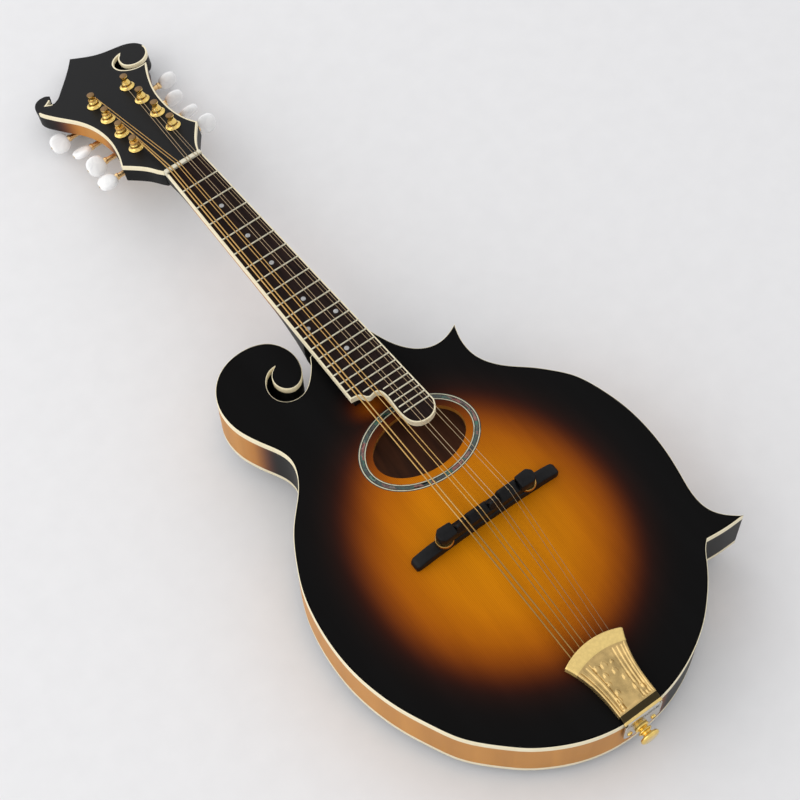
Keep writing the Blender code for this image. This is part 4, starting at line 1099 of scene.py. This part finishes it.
# Each knob's place across the cover from -1 to 1, its place along it from 0 to 1, and its size.
COVER_KNOBS = (
    (-0.38, 0.31, 0.13), (-0.10, 0.33, 0.14), (-0.30, 0.43, 0.11), (-0.42, 0.53, 0.10), (0.12, 0.45, 0.13),
    (-0.36, 0.66, 0.11), (-0.52, 0.74, 0.12), (0.30, 0.56, 0.12), (0.42, 0.72, 0.12), (0.66, 0.76, 0.11),
    (-0.62, 0.82, 0.10), (0.22, 0.34, 0.08),
)


def cover_height(along, t):
    """The cover's pressed top: a smooth lip, a sunk panel with harp ribs and knobs, and a raised rim."""
    high = cover_top(along) - 0.5 * t**4 * (1 - along)
    into = min(1.0, (along - 0.165) / 0.035, (0.875 - along) / 0.03, (0.92 - abs(t)) / 0.07)
    if into <= 0:
        return high
    sink = 1.15 * into
    if t < -0.48:
        sink += 0.40 * math.cos((t + 0.48) * 2 * math.pi / 0.21) * into
    elif 0.30 < t:
        sink += 0.33 * math.cos((t - 0.30) * 2 * math.pi / 0.155) * min(1, (t - 0.30) / 0.1) * into
    for place, far, size in COVER_KNOBS:
        near = math.hypot(t - place, (along - far) * 2.2) / size
        if near < 1:
            sink -= 1.15 * (1 - near**2) * into
    return high - sink


def cover_tone(along):
    """Satin lip, patterned panel, mirrored step with a painted dark reflection, and satin end, as numbers of
    the looks.
    """
    if along > 0.972 or along <= 0.165:
        return 0
    return 1 if along > 0.885 else 2


def cover_shape():
    wall = 0.8
    rings = []
    rows, columns = 110, 96
    for k in range(rows + 1):
        along = k / rows
        half = cover_half(along)
        base_y = COVER_FRONT + (COVER_REAR - COVER_FRONT) * along
        low = min(cover_top(along) - 1.9, 0.9 + top_face(half, base_y))
        ring = []
        for j in range(columns + 1):
            t = -1 + 2 * j / columns
            bow = 5.5 * (1 - along) ** 2 * t**2
            edge = max(0.0, (abs(t) - 0.93) / 0.07)
            z = cover_height(along, t) - 0.9 * edge**2.2
            if k == 0:
                z -= 0.35
            ring.append((half * t, base_y - bow, z))
        under = []
        for j in range(columns, -1, -1):
            t = -1 + 2 * j / columns
            bow = 5.5 * (1 - along) ** 2 * t**2
            thick = 0.85 + 0.9 * min(1.0, max(0.0, (along - 0.17) / 0.03))
            under.append(((half - wall) * t, base_y - bow, cover_top(along) - thick - 0.9 * (abs(t) > 0.97)))
        left, right = ring[0], ring[-1]
        skirt_right = [(half, right[1], low), (half - wall, right[1], low)]
        skirt_left = [(-half + wall, left[1], low), (-half, left[1], low)]
        rings.append(ring + skirt_right + under + skirt_left)
    return loft(rings, numbers=[cover_tone(k / rows) for k in range(rows)])


def screw(radius, height, slot_turn):
    """A small domed screw head with a cross cut."""
    turns = [math.pi / 2 * k / 5 for k in range(5)]
    profile = [(radius, 0.0)]
    profile += [(radius * math.cos(t), height * (0.35 + 0.65 * math.sin(t))) for t in turns]
    profile.append((0.12, height))
    head = turned(profile, 24)
    cut = []
    for angle in (slot_turn, slot_turn + math.pi / 2):
        a, b = radius * 0.62, radius * 0.13
        loop = [(-a, -b), (a, -b), (a, b), (-a, b)]
        cut.append(moved(marked(prism([loop], height * 0.97, height * 1.02), 1), spun(angle, "Z")))
    return joined(head, *cut)


def build_tailpiece():
    wall = 1.2
    outer = TAIL + 0.5 + wall
    lengths = [(-463, 4.4), (-480, 2.2), (-495, 0.75), (-TAIL - 0.5, 0.35), (-TAIL - 0.5, -6),
               (-outer, -6), (-outer, 1.2), (-outer + 0.5, 1.55), (-495, 1.95), (-480, 3.4), (-463, 5.6)]
    stand_up = spun(math.pi / 2, "Z") @ spun(math.pi / 2, "X")
    plate = moved(prism([anticlockwise(lengths)], -TAIL_HALF, TAIL_HALF), stand_up)
    leg = [(LEG_HALF, -1.2), (-LEG_HALF, -1.2)]
    for k in range(33):
        t = math.pi * k / 32
        leg.append((-LEG_HALF * math.cos(t), -18.5 - 11 * math.sin(t)))
    upright = at(0, -TAIL - 0.5, 0) @ spun(math.pi / 2, "X")
    foot = moved(prism([leg], 0, wall), upright)
    bar = [(-16.2, -466.2), (16.2, -466.2), (16.2, -461.9), (-16.2, -461.9)]
    hooks = [prism([bar], 4.5, 5.6)]
    for _, _, _, tail_x, _ in COURSES:
        for x in (tail_x - PAIR_AT_TAIL, tail_x + PAIR_AT_TAIL):
            path = [(x, -464.0, 5.0), (x, -463.9, 6.1), (x, -464.1, 6.8), (x, -464.7, 7.2), (x, -465.6, 7.3)]
            hooks.append(tube(smooth_run(path, 0.4), 0.7, 10))
    piece("tail_base", joined(plate, foot, *hooks), BODY, "steel", replaces="tailpiece_base",
          bevel=0.2)
    # The cover's rear step uses the gold with the painted dark reflection.
    piece("tail_cover", cover_shape(), BODY, ("gold_satin", "gold_painted_reflection", "gold_panel"), body="cover",
          replaces="tailpiece_cover", smooth=35)
    face = at(0, -outer, 0) @ spun(math.pi / 2, "X")
    for name, x in (("bass", -9.4), ("treble", 9.4)):
        piece("tail_screw_" + name, moved(screw(1.9, 1.2, 0.4 + x), face @ at(x, -20, 0)), BODY,
              ("gold", "black_line"))
    reach = [(3.4, -20), (3.4, 1.8), (4.9, 1.8), (5.15, 2.2), (5.15, 2.8), (4.8, 3.2), (3.7, 3.6),
             (3.3, 4.2), (3.5, 4.6), (4.6, 4.9), (5.0, 5.4), (4.9, 6.0), (4.1, 6.4), (3.3, 6.8), (3.1, 7.4),
             (3.4, 8.0), (4.6, 8.5), (6.2, 9.0), (6.85, 9.7), (6.95, 10.5), (6.6, 11.3), (5.6, 11.9),
             (4.2, 12.1)]
    drill = at(0, -TAIL, PIN_HEIGHT) @ spun(math.pi / 2, "X")
    piece("strap_pin", moved(turned(reach, 40), drill), BODY, "gold", replaces="end_pin",
          smooth=50)


# --- the tuners ---

def tuner_plate(side, sign):
    low = -HEAD_THICKNESS - 1.7
    centre = sign * PLATE_CENTRE
    start, end = POST_START - 9, POST_START + 3 * POST_STEP + WORM_OFFSET + 9
    loop = []
    for y, turn in ((end - 6.5, 0), (start + 6.5, math.pi)):
        turns = [turn + math.pi * j / 16 for j in range(17)]
        loop += [(centre + 7.6 * math.cos(t), y + 6.5 * math.sin(t)) for t in turns]
    shapes = [prism([anticlockwise(loop)], low, low + 1.5)]
    heads = []
    for k in range(4):
        y = POST_START + POST_STEP * k + WORM_OFFSET
        for x in (centre - 6.2, centre + 6.2):
            ear = [(y - 2.9, low + 0.5), (y + 2.9, low + 0.5)]
            ear += [(y + 2.9 * math.cos(t), WORM_LEVEL - 2.9 * math.sin(t)) for t in
                    (math.pi * j / 12 for j in range(13))]
            lug = prism([ear], x - 0.9, x + 0.9)
            shapes.append(([(c, a, b) for a, b, c in lug[0]], lug[1], lug[2]))
        if k < 3:
            spot = at(centre, y + POST_STEP / 2 + 0.3, low) @ spun(math.pi, "X")
            heads.append(moved(screw(1.6, 0.9, k * 1.1 + sign), spot))
    piece("gear_plate_" + side, joined(*shapes), HEAD, "gold_satin", replaces="tuner_plate_" + side,
          bevel=0.15)
    piece("gear_plate_screws_" + side, joined(*heads), HEAD, ("gold", "black_line"))


def gear_ring(root, tip, low, high, teeth):
    """A spur gear's toothed disc about Z."""
    loop = []
    for k in range(teeth):
        for part, radius in ((0.0, root), (0.22, root), (0.34, tip), (0.66, tip), (0.78, root)):
            t = 2 * math.pi * (k + part) / teeth
            loop.append((radius * math.cos(t), radius * math.sin(t)))
    return prism([loop], low, high)


def build_post(name, x, y):
    foot = WORM_LEVEL - 1.6
    stem = [(2.8, foot + 3.1), (2.8, 3.0), (3.75, 3.1), (3.9, 3.5), (3.6, 4.2), (3.1, 5.2), (2.65, 6.3),
            (2.35, 7.4), (2.3, 8.3), (2.6, 8.7), (2.85, 9.0), (2.95, 9.4), (2.95, 10.3), (2.8, 10.6),
            (2.4, 10.7)]
    tones = [0] * 12 + [1] * 3
    teeth = gear_ring(4.9, GEAR_TIP, foot, foot + 3.2, GEAR_TEETH)
    hub = turned(((1.2, foot - 1.0), (2.6, foot - 1.0), (2.9, foot - 0.7), (2.9, foot + 0.1)), 24)
    body = name.replace("tuner_", "")
    placing = at(x, y, 0)
    piece("peg_" + body, moved(turned(stem, 32, tones), placing), HEAD, ("gold", "copper"), body=body,
          replaces=name, smooth=45)
    piece("gear_" + body, moved(joined(teeth, hub), placing), HEAD, "brass", body=body,
          bevel=0.12)


def build_key(name, side, sign, k):
    """The worm, its shaft and its pearly button, about an axis pointing outwards."""
    x, y = sign * POST_HALF[k], POST_START + POST_STEP * k + WORM_OFFSET
    body = name.replace("tuner_", "")
    outward = at(x, y, WORM_LEVEL) @ spun(sign * math.pi / 2, "Y")
    outward = outward @ spun(math.radians(BUTTON_TURN[side][k]), "Z")
    reach = BUTTON_REACH[k] - abs(x)
    shift = PLATE_CENTRE - abs(x)
    stem = [(1.2, shift - 8.2), (1.7, shift - 8.0), (1.7, shift - 4.7), (1.2, shift - 4.6),
            (1.2, shift + 4.6), (2.1, shift + 4.7), (2.0, reach - 9.4), (2.5, reach - 9.2),
            (2.6, reach - 8.6), (2.6, reach - 7.6), (2.1, reach - 6.0)]
    shape = joined(turned(stem, 20), worm_thread(shift))
    piece("shaft_" + body, moved(shape, outward), HEAD, "copper_gold", body=body, replaces=name,
          smooth=35)
    piece("button_" + body, moved(button_shape(reach), outward), HEAD, "pearl", body=body,
          smooth=60)
    tip = moved(screw(1.15, 0.5, k + 0.3), outward @ at(0, 0, reach + 7.1))
    piece("button_screw_" + body, tip, HEAD, ("gold", "black_line"), body=body)


def worm_thread(shift):
    """The worm's raised thread, wound about Z at the pitch of the gear's teeth."""
    lead = 2 * math.pi * 5.4 / GEAR_TEETH
    rings, steps = [], 110
    for i in range(steps + 1):
        t = 2 * math.pi * (2 * WORM_HALF / lead) * i / steps
        z = shift - WORM_HALF + lead * t / (2 * math.pi)
        section = ((1.15, -0.62), (WORM_RADIUS, -0.25), (WORM_RADIUS, 0.25), (1.15, 0.62))
        rings.append([(r * math.cos(t), r * math.sin(t), z + rise) for r, rise in section])
    return loft(rings)


def button_shape(reach):
    """An oval button, flattened across, that swells and narrows along the shaft."""
    button = []
    for j in range(25):
        t = math.pi * (0.13 + 0.865 * j / 24)
        swell = math.sin(t) ** 0.62
        height = reach - 7.4 * math.cos(t)
        wide = 7.9 * swell * (0.90 + 0.10 * math.sin(t))
        thick = 2.9 * swell ** 0.8 + 0.25
        ring = []
        for i in range(40):
            a = 2 * math.pi * i / 40
            c, s = math.cos(a), math.sin(a)
            r = (abs(c / max(wide, 0.02)) ** 2.6 + abs(s / thick) ** 2.6) ** (-1 / 2.6)
            ring.append((r * c, r * s, height))
        button.append(ring)
    return loft(button)


def build_bushing(name, x, y):
    """The round flange and sleeve that a post turns in."""
    profile = ((3.15, -5.5), (4.0, -5.5), (4.0, 0.05), (5.5, 0.05), (5.75, 0.3), (5.7, 0.6), (5.3, 0.9),
               (4.4, 1.15), (3.9, 1.6), (3.7, 2.6), (3.15, 2.7))
    shape = turned(profile, 48, bore=True)
    piece("collar_" + name.replace("tuner_bushing_", ""), moved(shape, at(x, y, 0)), HEAD, "gold",
          replaces=name, smooth=40)


def build_tuners():
    for side, sign in SIDES:
        tuner_plate(side, sign)
        for k in range(4):
            number = str(k + 1)
            x, y = sign * POST_HALF[k], POST_START + POST_STEP * k
            build_post("tuner_post_" + side + "_" + number, x, y)
            build_key("tuner_key_" + side + "_" + number, side, sign, k)
            build_bushing("tuner_bushing_" + side + "_" + number, x, y)


# --- the strings ---

# The posts that each course's two strings run to, counted from the nut.
POST_ORDER = {"g": (0, 1), "d": (2, 3), "a": (3, 2), "e": (1, 0)}
STRING_TURNS = 3.25


def build_strings():
    for course, nut_x, saddle_x, tail_x, radius in COURSES:
        side, sign = SIDES[0] if nut_x < 0 else SIDES[1]
        look = "bronze" if course in "gd" else "wire"
        for way, k in zip((-1, 1), POST_ORDER[course]):
            name = course + ("1" if way < 0 else "2")
            at_nut = nut_x + way * PAIR_AT_NUT
            nut_back = through(NECK, BODY, (at_nut, NUT_BACK - 0.9, 0.75 + radius))
            nut_front = through(NECK, BODY, (at_nut, NUT_FRONT, 1.35 + radius))
            saddle = through(NECK, BODY, (saddle_x + way * PAIR_AT_SADDLE, -SCALE_LENGTH - 2.3,
                                          4.75 + radius))
            x, y = sign * POST_HALF[k], POST_START + POST_STEP * k
            leave = through(HEAD, BODY, (x - sign * (2.5 + radius), y - 0.4, 5.9))
            run = [leave, leave.lerp(nut_back, 0.5), nut_back, nut_back.lerp(nut_front, 0.5), nut_front]
            piece("string_head_" + name, tube(run, radius, 10), BODY, look, replaces="string_" + name)
            piece("string_turns_" + name, tube(post_turns(x, y, sign, radius), radius, 8), HEAD, look,
                  body="post_%s_%d" % (side, k + 1))
            main = [nut_front.lerp(saddle, i / 24) for i in range(25)]
            neck = piece("string_neck_" + name, tube(main, radius, 10), BODY, look, body=None)
            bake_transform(neck)
            hook = Vector((tail_x + way * PAIR_AT_TAIL, -462.8, 6.5))
            rear = [saddle.lerp(hook, i / 12) for i in range(13)]
            # The run behind the saddle takes the darker copy of its metal, which is painted shade.
            tail = piece("string_tail_" + name, tube(rear, radius, 10), BODY, look + "_rear", body=None)
            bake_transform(tail)
            loop = [(hook.x + 1.25 * math.sin(t), hook.y - 1.2 - 1.6 * math.cos(t), 6.2)
                    for t in (2 * math.pi * i / 24 for i in range(24))]
            piece("string_loop_" + name, tube(loop, min(radius, 0.3), 8, close=True), BODY, look)


def post_turns(x, y, sign, radius):
    """A string's turns round its post, wider towards the post's foot."""
    coil = []
    for i in range(int(STRING_TURNS * 20) + 1):
        angle = (math.pi if sign > 0 else 0) + sign * 2 * math.pi * i / 20
        high = 5.9 + (2 * radius + 0.02) * (STRING_TURNS - i / 20)
        grow = 2.5 + radius + 0.16 * max(0.0, 6.6 - high)
        coil.append((x + grow * math.cos(angle), y + grow * math.sin(angle), min(high, 8.1) - 1.7))
    return coil


# --- camera, light and floor ---

def stage_scene():
    scene = bpy.context.scene
    floor_mesh = bpy.data.meshes.new("floor")
    tool = bmesh.new()
    bmesh.ops.create_grid(tool, x_segments=8, y_segments=8, size=6.0)
    tool.to_mesh(floor_mesh)
    tool.free()
    floor_mesh.materials.append(floor_material())
    floor = bpy.data.objects.new("floor", floor_mesh)
    floor.location = (0, 0, -0.0004)
    scene.collection.objects.link(floor)

    world = bpy.data.worlds.new("studio")
    world.use_nodes = True
    world.node_tree.nodes["Background"].inputs["Color"].default_value = (0.99, 0.99, 1.0, 1)
    world.node_tree.nodes["Background"].inputs["Strength"].default_value = 0.80
    scene.world = world

    lamps = (
        ("window", (-2.2, 0.55, 1.45), 2.8, 29, (1.0, 0.99, 0.975)),
        ("far_wall", (-0.4, 2.7, 1.25), 2.4, 12, (1.0, 1.0, 1.0)),
        ("fill", (1.7, 0.6, 2.0), 1.8, 2, (0.97, 0.98, 1.0)),
    )
    for name, place, size, power, colour in lamps:
        data = bpy.data.lights.new(name, "AREA")
        data.shape = "SQUARE"
        data.size = size
        data.energy = power
        data.color = colour
        lamp = bpy.data.objects.new(name, data)
        lamp.location = place
        lamp.rotation_euler = (Vector((0, 0.15, 0)) - Vector(place)).to_track_quat("-Z", "Y").to_euler()
        scene.collection.objects.link(lamp)

    # The camera's place and turn, in the frame of the fingerboard's face.
    right = Vector((0.804753, -0.589953, -0.065791))
    up = Vector((0.532949, 0.669254, 0.517749))
    back = Vector((-0.261416, -0.451723, 0.852999))
    turn = Matrix((right, up, back)).transposed().to_4x4()
    data = bpy.data.cameras.new("camera")
    data.sensor_width = 36
    data.lens = 36 * 1953.219 / 800
    data.clip_end = 20
    camera = bpy.data.objects.new("camera", data)
    camera.matrix_world = NECK @ placed(-331.372, -834.410, 1094.174) @ turn
    scene.collection.objects.link(camera)
    scene.camera = camera
    scene.view_settings.view_transform = "Standard"


build_body()
build_neck()
build_headstock()
build_bridge()
build_tailpiece()
build_tuners()
build_strings()
stage_scene()
